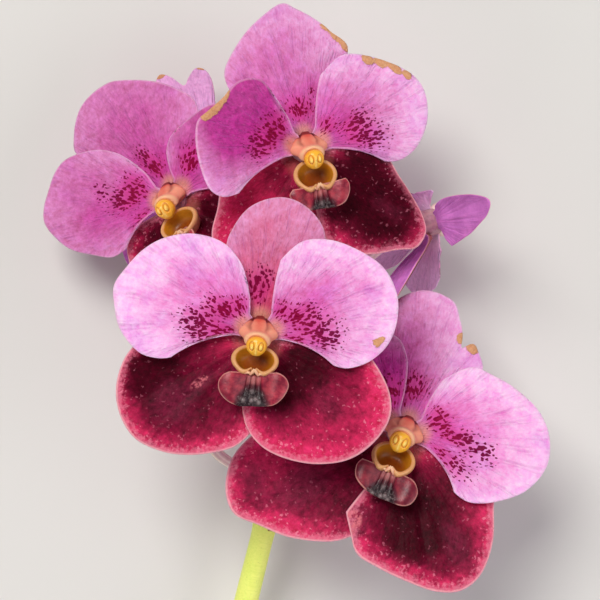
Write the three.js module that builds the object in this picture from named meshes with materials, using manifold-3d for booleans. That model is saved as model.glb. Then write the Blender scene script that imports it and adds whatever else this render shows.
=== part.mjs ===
// A cut spray of a vanda orchid, lying on its back on a flat surface: one green flower stem that carries six
// large flat blooms, four looking up and two turned away beneath them. Each bloom is a pedicel whose round head
// holds a dorsal sepal, two petals, two broad lateral sepals, a lip with a cup and a two-lobed blade, and a
// short column with its anther cap.
// Millimetres, +Z up from the surface, +Y along the stem from its cut end to its tip, +X to the right seen from
// above.
import * as THREE from "three";
import { mergeVertices } from "three/addons/utils/BufferGeometryUtils.js";
import Module from "manifold-3d";

const wasm = await Module();
wasm.setup();

// Sizes that every bloom shares, in its own frame: x to its right, y to its dorsal sepal, z out of its face.
const GAP = 0.3; // between two pieces that meet
const TEPAL_THICK = 0.9;
const BLADE_THICK = 1.0;
const HEAD = { radius: 4.7, back: -3.4, front: 1.5 }; // the pedicel's head, which the tepals stand around
const CLAW_START = HEAD.radius + GAP + 0.15; // from the bloom's axis to a tepal's inner end
const NECK = 9; // the straight stretch of pedicel behind the head
const COLUMN = { tilt: 36, length: 6.6, seat: 1.1, shoulders: 0.8 }; // tilt in degrees below straight ahead
const SEAT = HEAD.front + GAP; // the level where the column and the lip's foot stand on the head
const CUP = { y: -11.1, z: 1.5, base: 0.85, squash: 0.72, tilt: -30, notch: 1.4, notchWidth: 1.7 };

// How finely the tepals are divided: steps from claw to margin, and steps round the margin.
const STEPS_OUT = 6;
const STEPS_ROUND = 10;

const rad = THREE.MathUtils.degToRad;

// ------------------------------------------------------------------------------------------ general shapes

/** A closed geometry from points and triangles, turned the right way out. */
function closedGeometry(points, triangles) {
  let volume = 0;
  for (const [a, b, c] of triangles) {
    volume += points[a].dot(points[b].clone().cross(points[c]));
  }
  const faces = volume < 0 ? triangles.map(([a, b, c]) => [a, c, b]) : triangles;
  const geometry = new THREE.BufferGeometry();
  geometry.setAttribute("position", new THREE.Float32BufferAttribute(points.flatMap((p) => p.toArray()), 3));
  geometry.setIndex(faces.flat());
  geometry.computeVertexNormals();
  return geometry;
}

/** A thin shell of one thickness about a grid of points: rows from the claw outwards, columns across. */
function shell(rows, thickness) {
  const last = rows.length - 1;
  const end = rows[0].length - 1;
  const width = end + 1;
  const front = [];
  const back = [];
  for (let i = 0; i <= last; i++) {
    for (let j = 0; j <= end; j++) {
      const out = rows[Math.min(i + 1, last)][j].clone().sub(rows[Math.max(i - 1, 0)][j]);
      const across = rows[i][Math.min(j + 1, end)].clone().sub(rows[i][Math.max(j - 1, 0)]);
      const half = out.cross(across).setLength(thickness / 2);
      front.push(rows[i][j].clone().add(half));
      back.push(rows[i][j].clone().sub(half));
    }
  }
  const offset = front.length;
  const triangles = [];
  const quad = (a, b, c, d) => triangles.push([a, b, c], [a, c, d]);
  for (let i = 0; i < last; i++) {
    for (let j = 0; j < end; j++) {
      const a = i * width + j;
      quad(a, a + 1, a + width + 1, a + width);
      // The same diagonal as the front, so that the two faces never cross.
      triangles.push([offset + a, offset + a + width + 1, offset + a + 1]);
      triangles.push([offset + a, offset + a + width, offset + a + width + 1]);
    }
  }
  const rim = [];
  for (let j = 0; j < end; j++) rim.push(j);
  for (let i = 0; i < last; i++) rim.push(i * width + end);
  for (let j = end; j > 0; j--) rim.push(last * width + j);
  for (let i = last; i > 0; i--) rim.push(i * width);
  rim.forEach((a, k) => {
    const b = rim[(k + 1) % rim.length];
    quad(b, a, offset + a, offset + b);
  });
  return closedGeometry([...front, ...back], triangles);
}

/** A round limb along a smooth curve through stations [x, y, z, radius], with flat ends. */
function limb(stations, sides, steps) {
  const centres = stations.map(([x, y, z]) => new THREE.Vector3(x, y, z));
  const path = new THREE.CatmullRomCurve3(centres, false, "centripetal");
  const radiusAt = (t) => {
    const place = t * (stations.length - 1);
    const i = Math.min(Math.floor(place), stations.length - 2);
    return THREE.MathUtils.lerp(stations[i][3], stations[i + 1][3], place - i);
  };
  const points = [];
  const side = new THREE.Vector3(0.31, 0.17, 0.93);
  for (let i = 0; i <= steps; i++) {
    const t = i / steps;
    const along = path.getTangent(t);
    side.sub(along.clone().multiplyScalar(side.dot(along))).normalize();
    const up = along.clone().cross(side);
    const centre = path.getPoint(t);
    for (let k = 0; k < sides; k++) {
      const turn = (2 * Math.PI * k) / sides;
      const spoke = side.clone().multiplyScalar(Math.cos(turn)).addScaledVector(up, Math.sin(turn));
      points.push(centre.clone().add(spoke.multiplyScalar(radiusAt(t))));
    }
  }
  const triangles = [];
  for (let i = 0; i < steps; i++) {
    for (let k = 0; k < sides; k++) {
      const a = i * sides + k;
      const b = i * sides + ((k + 1) % sides);
      triangles.push([a, b, b + sides], [a, b + sides, a + sides]);
    }
  }
  for (let k = 1; k < sides - 1; k++) {
    triangles.push([0, k + 1, k]);
    triangles.push([steps * sides, steps * sides + k, steps * sides + k + 1]);
  }
  return closedGeometry(points, triangles);
}

/** A lathed body about +Z from a profile of [radius, z] that starts and ends on the axis. */
function lathed(profile, segments, reshape = () => {}) {
  const made = new THREE.LatheGeometry(profile.map(([r, z]) => new THREE.Vector2(r, z)), segments);
  made.rotateX(Math.PI / 2);
  made.deleteAttribute("normal");
  made.deleteAttribute("uv");
  const merged = mergeVertices(made, 1e-4);
  const place = new THREE.Vector3();
  const position = merged.getAttribute("position");
  const points = [];
  for (let i = 0; i < position.count; i++) {
    place.fromBufferAttribute(position, i);
    reshape(place);
    points.push(place.clone());
  }
  const triangles = [];
  for (let i = 0; i < merged.index.count; i += 3) {
    const [a, b, c] = [0, 1, 2].map((k) => merged.index.getX(i + k));
    if (a !== b && b !== c && a !== c) triangles.push([a, b, c]);
  }
  return closedGeometry(points, triangles);
}

/** A closed geometry as a solid for joining and trimming. */
function toSolid(geometry) {
  const bare = new THREE.BufferGeometry().setAttribute("position", geometry.getAttribute("position").clone());
  bare.setIndex(geometry.index.clone());
  const merged = mergeVertices(bare, 1e-4);
  const vertProperties = new Float32Array(merged.getAttribute("position").array);
  const triVerts = new Uint32Array(merged.index.array);
  return new wasm.Manifold(new wasm.Mesh({ numProp: 3, vertProperties, triVerts }));
}

/** A solid as a geometry again. */
function fromSolid(solid) {
  const mesh = solid.getMesh();
  const geometry = new THREE.BufferGeometry();
  geometry.setAttribute("position", new THREE.BufferAttribute(Float32Array.from(mesh.vertProperties), 3));
  geometry.setIndex(new THREE.BufferAttribute(Uint32Array.from(mesh.triVerts), 1));
  geometry.computeVertexNormals();
  return geometry;
}

/** Several closed geometries joined into one. */
const joined = (...geometries) => fromSolid(geometries.map(toSolid).reduce((sum, next) => sum.add(next)));

/** The main body that is left of a closed geometry when room is cut out of it for another. */
function cut(geometry, room) {
  const bodies = toSolid(geometry).subtract(toSolid(room)).decompose();
  return fromSolid(bodies.reduce((main, body) => (body.volume() > main.volume() ? body : main)));
}

/** The part of a closed geometry that lies above a level. */
const above = (geometry, level) => fromSolid(toSolid(geometry).trimByPlane([0, 0, 1], level));

// ------------------------------------------------------------------------------------------------- tepals

/** A place at an angle (degrees, 0 to the bloom's right, 90 to its dorsal sepal) and a distance. */
function polar(angle, distance) {
  return new THREE.Vector2(Math.cos(rad(angle)), Math.sin(rad(angle))).multiplyScalar(distance);
}

/**
 * The middle surface of a tepal, as rows of points. Its blade fans out from a short claw, or from a small
 * round hub: `reach` lists how far the margin lies from there in each direction, from one shoulder round to
 * the other.
 */
function tepalRows(form, stepsOut = STEPS_OUT, stepsRound = STEPS_ROUND) {
  const { claw, clawWidth, hub, axis, reach, bows = [0, 0], layer, tilt, curl = 0, cup = 0 } = form;
  const centre = new THREE.Vector2(...claw);
  const margin = new THREE.SplineCurve(reach.map(([angle, distance]) => polar(angle, distance).add(centre)));
  const along = polar(axis, 1);
  const across = new THREE.Vector2(-along.y, along.x);
  const base = new THREE.Vector2(-centre.y, centre.x).setLength(clawWidth);
  const rows = [];
  for (let i = 0; i <= stepsOut; i++) {
    const out = i / stepsOut;
    const row = [];
    for (let j = 0; j <= stepsRound; j++) {
      const turn = j / stepsRound;
      const end = margin.getPointAt(turn);
      const start = hub ? end.clone().sub(centre).setLength(hub) : base.clone().multiplyScalar(turn - 0.5);
      const inner = start.add(centre);
      const ray = end.sub(inner);
      const side = new THREE.Vector2(-ray.y, ray.x).normalize();
      const edge = 2 * turn - 1;
      const bow = (edge < 0 ? -bows[0] : bows[1]) * Math.abs(edge) ** 3 * 4 * out * (1 - out);
      const flat = inner.clone().add(ray.clone().multiplyScalar(out)).add(side.multiplyScalar(bow));
      const from = flat.clone().sub(centre);
      const distance = from.length();
      const height =
        layer +
        distance * Math.tan(rad(tilt)) +
        curl * (distance / 40) ** 2 +
        cup * (from.dot(across) / 20) ** 2;
      row.push(new THREE.Vector3(flat.x, flat.y, height));
    }
    rows.push(row);
  }
  return rows;
}

/** The same form on the other side of the bloom. */
function mirrored(form) {
  return {
    ...form,
    claw: [-form.claw[0], form.claw[1]],
    axis: 180 - form.axis,
    reach: form.reach.map(([angle, distance]) => [180 - angle, distance]).reverse(),
    bows: form.bows && [form.bows[1], form.bows[0]],
  };
}

const clawAt = (angle) => polar(angle, CLAW_START).toArray();

// The usual forms, on the bloom's right side. Angles in degrees, distances and depths in millimetres.
const DORSAL = {
  claw: clawAt(90),
  clawWidth: 5.6,
  axis: 90,
  reach: [[50, 25], [58, 33.2], [68, 37.3], [80, 39.6], [91, 39], [104, 35.4], [118, 28.4], [127, 22.5]],
  bows: [0.5, 0.5],
  layer: -1.6,
  tilt: -1,
  curl: -2,
  cup: -0.6,
};
const PETAL = {
  claw: clawAt(22),
  clawWidth: 6,
  axis: 27,
  reach: [
    [-24, 22.4], [-20, 27.2], [-11, 32.5], [0, 37], [12, 39.7], [24, 41], [37, 40.2], [51, 36.9], [65, 33.8],
    [79, 29.6], [91, 22.5],
  ],
  bows: [-1.8, 0.7],
  layer: 0.7,
  tilt: 9,
  curl: -2,
  cup: 0.4,
};
const LATERAL = {
  claw: clawAt(-48),
  clawWidth: 6,
  axis: -48,
  reach: [
    [-106, 21], [-97, 27.1], [-86, 32.3], [-74, 36.4], [-61, 40.8], [-48, 44.6], [-36, 46], [-24, 45.6],
    [-14, 42], [-2, 35], [10, 28], [20, 20],
  ],
  bows: [0.6, 0.6],
  layer: -0.6,
  tilt: 1,
  curl: 0.5,
  cup: 1.0,
};

const COLOURS = {
  stem: 0xb8cf52,
  pedicel: 0xe9c3b4,
  dorsal: 0xd07cc0,
  petal: 0xe58ad6,
  sepal: 0x7d1238,
  lip: 0xb8804e,
  column: 0xe7a488,
  cap: 0xf2c63a,
};

/** A named mesh with a material of its own. */
function piece(name, geometry, colour, roughness = 0.5) {
  const material = new THREE.MeshStandardMaterial({ color: colour, roughness, metalness: 0 });
  const mesh = new THREE.Mesh(geometry, material);
  mesh.name = name;
  return mesh;
}

// ----------------------------------------------------------------------------------------- column and lip

// Profiles about the column's own axis, as [radius, distance along it].
const SHAFT = [
  [0, -4.5], [3.1, -4.5], [3.2, 0], [3.5, 2.2], [3.2, 4.4], [2.9, 5.8],
  [2.7, COLUMN.length], [0, COLUMN.length],
];
const CAP = [
  [0, 0], [2.7, 0], [3.3, 1], [3.1, 2.3], [2.0, 3.4], [0, 3.8],
].map(([radius, level]) => [radius, level + COLUMN.length + GAP]);

/** A body lathed about the column's axis, widened at the shoulders, and leaned down over the lip. */
function aboutColumn(profile, segments) {
  const shoulders = (place) => {
    place.x *= 1 + COLUMN.shoulders * Math.max(0, 1 - Math.abs(place.z - 2) / 5);
  };
  return lathed(profile, segments, shoulders).rotateX(rad(COLUMN.tilt)).translate(0, COLUMN.seat, SEAT);
}

/** The column, flat where it stands on the head, and the anther cap at its end. */
function columnPieces(name) {
  return [
    piece(`${name}_column`, above(aboutColumn(SHAFT, 12), SEAT), COLOURS.column),
    piece(`${name}_anther_cap`, aboutColumn(CAP, 12), COLOURS.cap),
  ];
}

/** The lip: a deep cup with a rolled, notched rim that opens round the column, and a blade with two lobes. */
function lipGeometry(changes) {
  const notched = (place) => {
    const low = Math.max(0, -place.y) / 7;
    place.y = place.y * CUP.squash + CUP.notch * low * Math.exp(-((place.x / CUP.notchWidth) ** 2));
  };
  const profile = [
    [0, 1.1], [3.4, 1.4], [5.2, 2.8], [6.2, 5.3], [7.1, 5.5], [7.6, 4.6], [6.9, 2.4], [5.0, 0.7], [0, 0],
  ];
  const cup = above(lathed(profile, 16, notched).rotateX(rad(CUP.tilt)).translate(0, CUP.y, CUP.z), CUP.base);
  const blade = {
    claw: [0.3, -12.8],
    hub: 0.8,
    axis: -90,
    reach: [
      [-178, 7.5], [-171, 9.7], [-160, 11.5], [-146, 12.2], [-130, 12], [-110, 11.3], [-90, 10.3],
      [-70, 10.6], [-50, 11.6], [-32, 11.8], [-14, 11.6], [-3, 10.4], [5, 8.5], [9, 6.8],
    ],
    layer: 6.6,
    tilt: 12,
    curl: -12,
    cup: 1.6,
    ...changes,
  };
  const room = aboutColumn([[0, -4], [4.3, -4], [4.3, 4], [3.9, 11.5], [0, 11.5]], 12);
  return cut(joined(cup, shell(tepalRows(blade, 4, 10), BLADE_THICK)), room);
}

// ------------------------------------------------------------------------------------------------- blooms

/** Each bloom's place, the way it faces, its turn about that line, its size, and what differs in its tepals. */
const BLOOMS = {
  centre: {
    at: [-13.4, -10.8, 78],
    facing: [0, 0, 1],
    roll: -7,
    size: 1,
    leaves: { y: -64, toward: [-0.8, 0.4, 0.5] },
    pedicel: [[-22, -57, 36], [-29.5, -50, 43], [-30, -36, 53]],
    left_petal: {
      axis: 13,
      reach: [
        [-30, 25.8], [-26.5, 30.4], [-20, 35.2], [-8, 39.9], [4, 42.5], [11, 43.6], [19, 42.2], [30, 40.5],
        [41, 37.9], [54, 33.7], [68, 27.8], [79, 20.6], [86, 14],
      ],
    },
    left_sepal: {
      reach: [
        [-104, 27], [-91, 33], [-79, 36.9], [-68, 40.9], [-58, 44.4], [-47, 47.2], [-36, 46.8], [-25, 44.2],
        [-13, 39.2], [-2, 32.5], [10, 26], [20, 19],
      ],
    },
  },
  upper: {
    at: [2.3, 50, 60],
    facing: [0.2, 0, 1],
    roll: 10,
    size: 1,
    leaves: { y: 17.5, toward: [0, 1, 0.2] },
    pedicel: [[2.9, 23.5, 46.8], [2, 33, 47], [0, 43, 44.5]],
    blade: {
      reach: [
        [-180, 9], [-170, 10.4], [-150, 9.4], [-122, 8.3], [-92, 7.3], [-60, 8.6], [-40, 9.8], [-20, 10],
        [-5, 9.8], [6, 9],
      ],
    },
    dorsal_sepal: {
      axis: 95,
      reach: [
        [47, 27], [53, 33.8], [64, 35.8], [74, 39.2], [83, 42.2], [88, 44.1], [95, 42.4], [109, 38.5],
        [125, 34.6], [134, 32], [141, 27],
      ],
    },
    right_petal: {
      tilt: 4,
      bows: [-1.7, 0.7],
      reach: [
        [-26.5, 23], [-22, 27.9], [-13, 32.5], [0, 36.7], [12, 39], [22, 39.2], [34, 36.3], [50, 32.5],
        [66, 29.2], [80, 21.7],
      ],
    },
    left_petal: {
      tilt: 26,
      bows: [-1.7, 0.7],
      reach: [
        [-29.5, 26], [-25, 31], [-17, 33.6], [-4, 33.8], [8, 34.3], [20, 34.5], [28, 31.7], [38, 29.1],
        [54, 28], [68, 24], [75, 16],
      ],
    },
    right_sepal: {
      tilt: 0,
      cup: 0.4,
      reach: [
        [-98, 25], [-86, 31], [-72, 35.7], [-58, 40.3], [-51, 44.4], [-43, 43.8], [-37, 39.5], [-30, 33.5],
        [-21, 28], [-11, 24.5], [2, 21.5], [16, 18],
      ],
    },
    left_sepal: {
      cup: 0.4,
      reach: [
        [-101, 26], [-87, 33.4], [-74, 37.8], [-60, 41.5], [-48, 42], [-38, 41], [-29, 37], [-20, 31],
        [-8, 27], [4, 23], [16, 18],
      ],
    },
  },
  lower: {
    at: [34.3, -44.6, 56],
    facing: [0.02, 0.2, 1],
    roll: -22,
    size: 1.08,
    leaves: { y: -74, toward: [0.9, 0.4, 0.2] },
    pedicel: [[5, -65, 31], [20, -54, 36]],
    blade: {
      reach: [
        [-178, 9], [-165, 10.2], [-146, 10.6], [-125, 9.8], [-100, 9], [-73, 9.4], [-52, 11.4], [-38, 12],
        [-22, 11], [-10, 8.8], [-4, 6.5],
      ],
    },
    dorsal_sepal: {
      reach: [
        [54, 27], [66, 31], [76, 30.5], [84, 35.6], [91, 40.7], [104, 41.8], [116, 38.5], [128, 32],
        [136, 25],
      ],
    },
    right_petal: {
      axis: 20,
      reach: [
        [-39, 21], [-33.5, 26], [-22, 30.8], [-8, 36.4], [6, 39.7], [19, 39.5], [32, 37], [46, 32.4],
        [60, 28.5], [74, 25.5], [88, 18],
      ],
    },
    left_petal: {
      reach: [
        [-27.5, 23], [-23, 27.5], [-14, 32], [0, 36], [16, 37], [31, 35], [45, 32], [60, 28.5], [74, 25.5],
        [84, 19],
      ],
    },
    right_sepal: {
      axis: -60,
      reach: [
        [-113, 27.5], [-104, 31], [-95, 35.8], [-84, 37.3], [-70, 40.2], [-58, 44], [-48, 45.7], [-38, 43.5],
        [-26, 37.7], [-12, 31], [0, 28.5], [10, 24.5], [20, 18],
      ],
    },
    left_sepal: {
      reach: [
        [-103, 25], [-90, 31.5], [-80, 36.2], [-66, 42.2], [-55, 47.1], [-47, 52.2], [-38, 51.9], [-28, 48],
        [-19, 41.5], [-10, 34.5], [0, 29], [12, 24], [22, 17],
      ],
    },
  },
  left: {
    at: [-42.8, 34.2, 42.5],
    facing: [-0.48, 0, 1],
    roll: 24,
    size: 1.04,
    leaves: { y: 2, toward: [-0.9, 0.4, -0.3] },
    pedicel: [[-10, 12, 34], [-20, 25, 32]],
    dorsal_sepal: {
      axis: 92,
      reach: [
        [44, 25], [54, 29.5], [76, 34.6], [97, 41.4], [106, 44.2], [117, 45.7], [126, 45], [133, 43.5],
        [139, 40.9], [143, 32],
      ],
    },
    right_petal: {
      tilt: 6,
      reach: [
        [-31.5, 20.5], [-25.5, 24.5], [-16, 28], [0, 31], [16, 32], [31, 31], [43, 28.5], [60, 21.5],
        [80, 17], [92, 13],
      ],
    },
    left_petal: {
      axis: 20,
      reach: [
        [-30.5, 19.5], [-25, 24.5], [-13, 29.4], [-3, 35], [6, 39], [16, 42], [28, 40.6], [44, 37.4],
        [59, 28.8], [70, 21.7], [80, 14],
      ],
    },
    right_sepal: {
      reach: [
        [-101, 26], [-87, 33], [-74, 36], [-60, 35], [-48, 33], [-36, 31], [-24, 29], [-12, 27], [0, 24],
        [14, 19],
      ],
    },
    left_sepal: {
      reach: [
        [-104, 26], [-92, 33], [-80, 37], [-68, 38], [-56, 37.5], [-44, 33], [-32, 27], [-20, 22.5],
        [-8, 20], [6, 16],
      ],
    },
  },
  rear_right: {
    at: [45.4, 26.8, 34],
    facing: [0.846, 0.282, -0.451],
    roll: -62,
    size: 0.95,
    neck: 3.5,
    leaves: { y: -8, toward: [1, 0.5, -0.3] },
    pedicel: [[13, 4, 34], [23, 14, 38.5], [31, 20.5, 41]],
    blade: { reach: [[-190, 4], [-165, 6], [-130, 6.5], [-90, 6], [-50, 6.5], [-15, 6], [10, 4]] },
    dorsal_sepal: {
      tilt: -14,
      curl: 0,
      reach: [[30, 10], [46, 20], [57, 28.5], [68, 32], [80, 31], [94, 27], [108, 18]],
    },
    right_petal: {
      axis: 30,
      bows: [0, 0.7],
      tilt: 0,
      curl: 0,
      reach: [
        [-22, 6.8], [-9, 8.2], [-1.5, 11.8], [8.5, 16.4], [18.5, 20.7], [27, 24.2], [38, 30], [55, 33],
        [65, 27],
      ],
    },
    left_petal: {
      claw: clawAt(35),
      clawWidth: 5,
      axis: 88,
      bows: [0, 0],
      tilt: 0,
      curl: 0,
      reach: [
        [-50, 10.8], [-40, 9.8], [-10, 7.2], [18, 7.3], [41, 8.4], [58, 13.5], [72, 28], [89, 37.6],
        [108, 31], [119, 21],
      ],
    },
    right_sepal: {
      claw: clawAt(-20),
      clawWidth: 4,
      axis: 4,
      layer: -2.3,
      tilt: -55,
      curl: 0,
      cup: 0,
      reach: [[-30, 13.6], [-14, 21], [4, 24.4], [20, 19.9], [32, 11.7]],
    },
    left_sepal: {
      claw: clawAt(-80),
      layer: -0.6,
      axis: -86,
      tilt: 0,
      curl: 0,
      cup: 0,
      reach: [
        [-146, 11.5], [-125, 13.9], [-104, 20.8], [-94, 27], [-87, 33.4], [-80, 37.2], [-73, 29.5],
        [-64, 19.8], [-47, 11.5], [-28, 7.2],
      ],
    },
  },
  rear_left: {
    at: [-31, 40, 18],
    facing: [0.1, 0.05, -1],
    roll: 42,
    size: 1,
    leaves: { y: 9, toward: [-0.8, 0.5, 0.4] },
    pedicel: [[-8, 21, 38], [-22, 33, 39]],
    dorsal_sepal: {
      axis: 88,
      reach: [
        [44, 20], [56, 26], [66, 31.5], [74, 37.2], [80, 35.2], [86, 30.8], [90, 33], [95, 35.8],
        [100, 35.2], [104, 32], [107, 26],
      ],
    },
    left_petal: {
      tilt: 22,
      bows: [-0.5, 0.5],
      reach: [
        [-24, 24], [-13, 30.5], [0, 34], [16, 35], [31, 34], [45, 31.5], [60, 28.5], [76, 25], [92, 18],
      ],
    },
    right_petal: {
      tilt: 22,
      bows: [-0.5, 0.5],
      reach: [
        [-24, 24], [-13, 30.5], [0, 34], [16, 35], [31, 34], [45, 31.5], [60, 28.5], [76, 25], [92, 18],
      ],
    },
    right_sepal: {
      reach: [
        [-101, 22], [-87, 28], [-74, 32], [-60, 35], [-48, 36], [-36, 36], [-24, 35], [-12, 32], [0, 28],
        [12, 22], [20, 17],
      ],
    },
    left_sepal: {
      reach: [
        [-101, 22], [-87, 28], [-74, 32], [-60, 35], [-48, 36], [-36, 36], [-24, 35], [-12, 32], [0, 28],
        [12, 22], [20, 17],
      ],
    },
  },
};

// The stem's centreline from its cut end to its tip, with its radius.
const STEM = [
  [-38, -187, 4.3, 4.2],
  [-28.5, -145, 12, 4.1],
  [-18.2, -102.7, 21, 4.1],
  [-12, -77.7, 26, 4.0],
  [-5.5, -51, 31, 3.5],
  [0, -24, 34.5, 3.1],
  [2.5, 0, 37, 2.7],
  [3.4, 14, 38.5, 2.3],
  [3.6, 19.5, 39.2, 1.7],
];

/** The stem's centre and radius at a distance along it. */
function stemAt(y) {
  const i = Math.max(0, STEM.findIndex((station) => station[1] > y) - 1);
  const t = (y - STEM[i][1]) / (STEM[i + 1][1] - STEM[i][1]);
  const [x, level, z, radius] = STEM[i].map((value, k) => THREE.MathUtils.lerp(value, STEM[i + 1][k], t));
  const along = new THREE.Vector3(...STEM[i + 1]).sub(new THREE.Vector3(...STEM[i])).normalize();
  return { place: new THREE.Vector3(x, level, z), radius, along };
}

/** The direction square to the stem that comes nearest to a wished one. */
function acrossStem(node, toward) {
  const wished = new THREE.Vector3(...toward);
  return wished.sub(node.along.clone().multiplyScalar(wished.dot(node.along))).normalize();
}

/** The stem, with a small bract below each pedicel. */
function stemGeometry() {
  const bracts = Object.values(BLOOMS).map(({ leaves }) => {
    const node = stemAt(leaves.y - 4.5);
    const { place, radius } = node;
    const outward = acrossStem(node, leaves.toward);
    const root = place.clone().add(outward.clone().multiplyScalar(radius * 0.4));
    const tip = place.clone().add(outward.multiplyScalar(radius + 1.8));
    const middle = root.clone().lerp(tip, 0.6);
    return limb([[...root.toArray(), 1.9], [...middle.toArray(), 1.5], [...tip.toArray(), 0.5]], 6, 2);
  });
  return joined(limb(STEM, 12, 24), ...bracts);
}

/** The turn that takes +Z to the way a bloom faces, after its own roll. */
function bloomTurn({ facing, roll }) {
  const ahead = new THREE.Vector3(0, 0, 1);
  const turn = new THREE.Quaternion().setFromUnitVectors(ahead, new THREE.Vector3(...facing).normalize());
  return turn.multiply(new THREE.Quaternion().setFromAxisAngle(ahead, rad(roll)));
}

/** The pedicel: from the stem to a straight neck, and out to the round head that the tepals stand around. */
function pedicelGeometry(bloom) {
  const turn = bloomTurn(bloom);
  const onAxis = (z, radius) => {
    const place = new THREE.Vector3(0, 0, z * bloom.size).applyQuaternion(turn);
    place.add(new THREE.Vector3(...bloom.at));
    return [...place.toArray(), radius * bloom.size];
  };
  const node = stemAt(bloom.leaves.y);
  const outward = acrossStem(node, bloom.leaves.toward);
  const fromStem = (distance, rise) => {
    const place = node.place.clone().add(outward.clone().multiplyScalar(node.radius + distance));
    return [...place.add(node.along.clone().multiplyScalar(rise)).toArray(), 1.6];
  };
  const neck = bloom.neck ?? NECK;
  const stations = [
    fromStem(GAP + 0.65, 0),
    fromStem(3, 1),
    ...bloom.pedicel.map((place) => [...place, 1.8]),
    onAxis(-neck - 4, 2.3),
    onAxis(Math.min(-neck + 1, HEAD.back - 3), 2.6),
    onAxis(HEAD.back - 1.6, 3.1),
    onAxis(HEAD.back, HEAD.radius),
    onAxis(HEAD.front, HEAD.radius),
  ];
  return limb(stations, 8, 2 * (stations.length - 1));
}

/** One bloom: its pedicel in the spray's frame, and a turned group that holds everything in front of it. */
function makeBloom(name, bloom) {
  const group = new THREE.Group();
  group.position.set(...bloom.at);
  group.quaternion.copy(bloomTurn(bloom));
  group.scale.setScalar(bloom.size);
  const tepal = (part, form, colour) => {
    group.add(piece(`${name}_${part}`, shell(tepalRows(form), TEPAL_THICK), colour, 0.45));
  };
  tepal("dorsal_sepal", { ...DORSAL, ...bloom.dorsal_sepal }, COLOURS.dorsal);
  tepal("right_petal", { ...PETAL, ...bloom.right_petal }, COLOURS.petal);
  tepal("left_petal", mirrored({ ...PETAL, ...bloom.left_petal }), COLOURS.petal);
  tepal("right_sepal", { ...LATERAL, ...bloom.right_sepal }, COLOURS.sepal);
  tepal("left_sepal", mirrored({ ...LATERAL, layer: -2.4, ...bloom.left_sepal }), COLOURS.sepal);
  group.add(piece(`${name}_lip`, lipGeometry(bloom.blade), COLOURS.lip), ...columnPieces(name));
  return [group, piece(`${name}_pedicel`, pedicelGeometry(bloom), COLOURS.pedicel)];
}

const spray = new THREE.Group();
spray.add(piece("flower_stem", stemGeometry(), COLOURS.stem));
for (const [name, bloom] of Object.entries(BLOOMS)) spray.add(...makeBloom(name, bloom));

// The origin is under the middle of the whole spray, on the surface it lies on.
const box = new THREE.Box3().setFromObject(spray, true);
spray.position.set(-(box.min.x + box.max.x) / 2, -(box.min.y + box.max.y) / 2, -box.min.z);

export default spray;
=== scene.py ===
"""A cut spray of a vanda orchid lying on its back: six large flat blooms on one green stem.

Each bloom is drawn in millimetres in a frame of its own (x to its right, y to its dorsal
sepal, z out of its face) and then placed in the spray's frame, which is in metres.
"""

from __future__ import annotations

import logging
import math
from dataclasses import dataclass, field, replace
from enum import Enum
from functools import reduce

import bmesh
import bpy
import numpy as np
from mathutils import Matrix, Quaternion, Vector

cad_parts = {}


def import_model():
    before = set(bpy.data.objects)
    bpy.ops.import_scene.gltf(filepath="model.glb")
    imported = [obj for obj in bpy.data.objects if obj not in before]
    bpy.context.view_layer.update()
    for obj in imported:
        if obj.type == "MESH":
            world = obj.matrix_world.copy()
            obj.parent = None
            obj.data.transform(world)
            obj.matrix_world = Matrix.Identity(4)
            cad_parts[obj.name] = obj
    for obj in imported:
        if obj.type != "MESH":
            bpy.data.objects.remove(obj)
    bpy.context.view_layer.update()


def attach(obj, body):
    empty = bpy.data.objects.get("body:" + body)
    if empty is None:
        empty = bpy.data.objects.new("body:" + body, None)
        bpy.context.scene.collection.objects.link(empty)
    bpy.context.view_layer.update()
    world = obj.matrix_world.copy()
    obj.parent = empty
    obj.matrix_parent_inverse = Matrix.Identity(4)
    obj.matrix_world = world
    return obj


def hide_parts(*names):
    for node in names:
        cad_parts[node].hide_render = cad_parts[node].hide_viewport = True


logger = logging.getLogger("vanda_spray")

MM = 0.001
SPRAY_ORIGIN = Vector((3.0744, 45.2457, -0.2739))  # where the drawing's origin lies in the spray's frame
CAMERA_HEIGHT = 778.0  # above the drawing's origin
CAMERA_LENS = 130.03
SENSOR_WIDTH = 36.0
FINE_STEPS = 400  # how many stretches a curve is cut into to measure its length
SEED_SPAN = 97  # patterns repeat after this many seeds

Grid = np.ndarray
Pairs = tuple[tuple[float, float], ...]
Place = tuple[float, float, float]
Socket = bpy.types.NodeSocket
Paint = tuple[Socket, Socket, Socket]  # the colour, the fine relief and the roughness

NUMBER, VECTOR, COLOUR = "NodeSocketFloat", "NodeSocketVector", "NodeSocketColor"
FIRST_SIDE = (0.31, 0.17, 0.93)  # roughly where the first ring of a swept body starts
SIDE_VALUES = (1.0, 0.0, 0.6)  # what marks a sheet's front, back and rim
THINNEST = 0.02  # the radius of a lathed body's ends
DRY_DARK, DRY_PALE = "c07a4e", "eab78e"
SPRAY_FRAME = Matrix.Translation(SPRAY_ORIGIN)


# ------------------------------------------------------------------------------ numbers and curves


def eased(value: Grid, low: float, high: float) -> Grid:
    """0 at low, 1 at high, and a smooth step between them.

    Args:
        value: The numbers to turn into shares.
        low: Where the share is 0.
        high: Where the share is 1, above or below low.

    Returns:
        Shares from 0 to 1.
    """
    share = np.clip((value - low) / (high - low), 0.0, 1.0)
    return share * share * (3.0 - 2.0 * share)


def polar(angle: Grid | float, distance: Grid | float) -> Grid:
    """Flat places at an angle in degrees and a distance."""
    turn = np.radians(angle)
    return np.stack([np.cos(turn) * distance, np.sin(turn) * distance], axis=-1)


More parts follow.
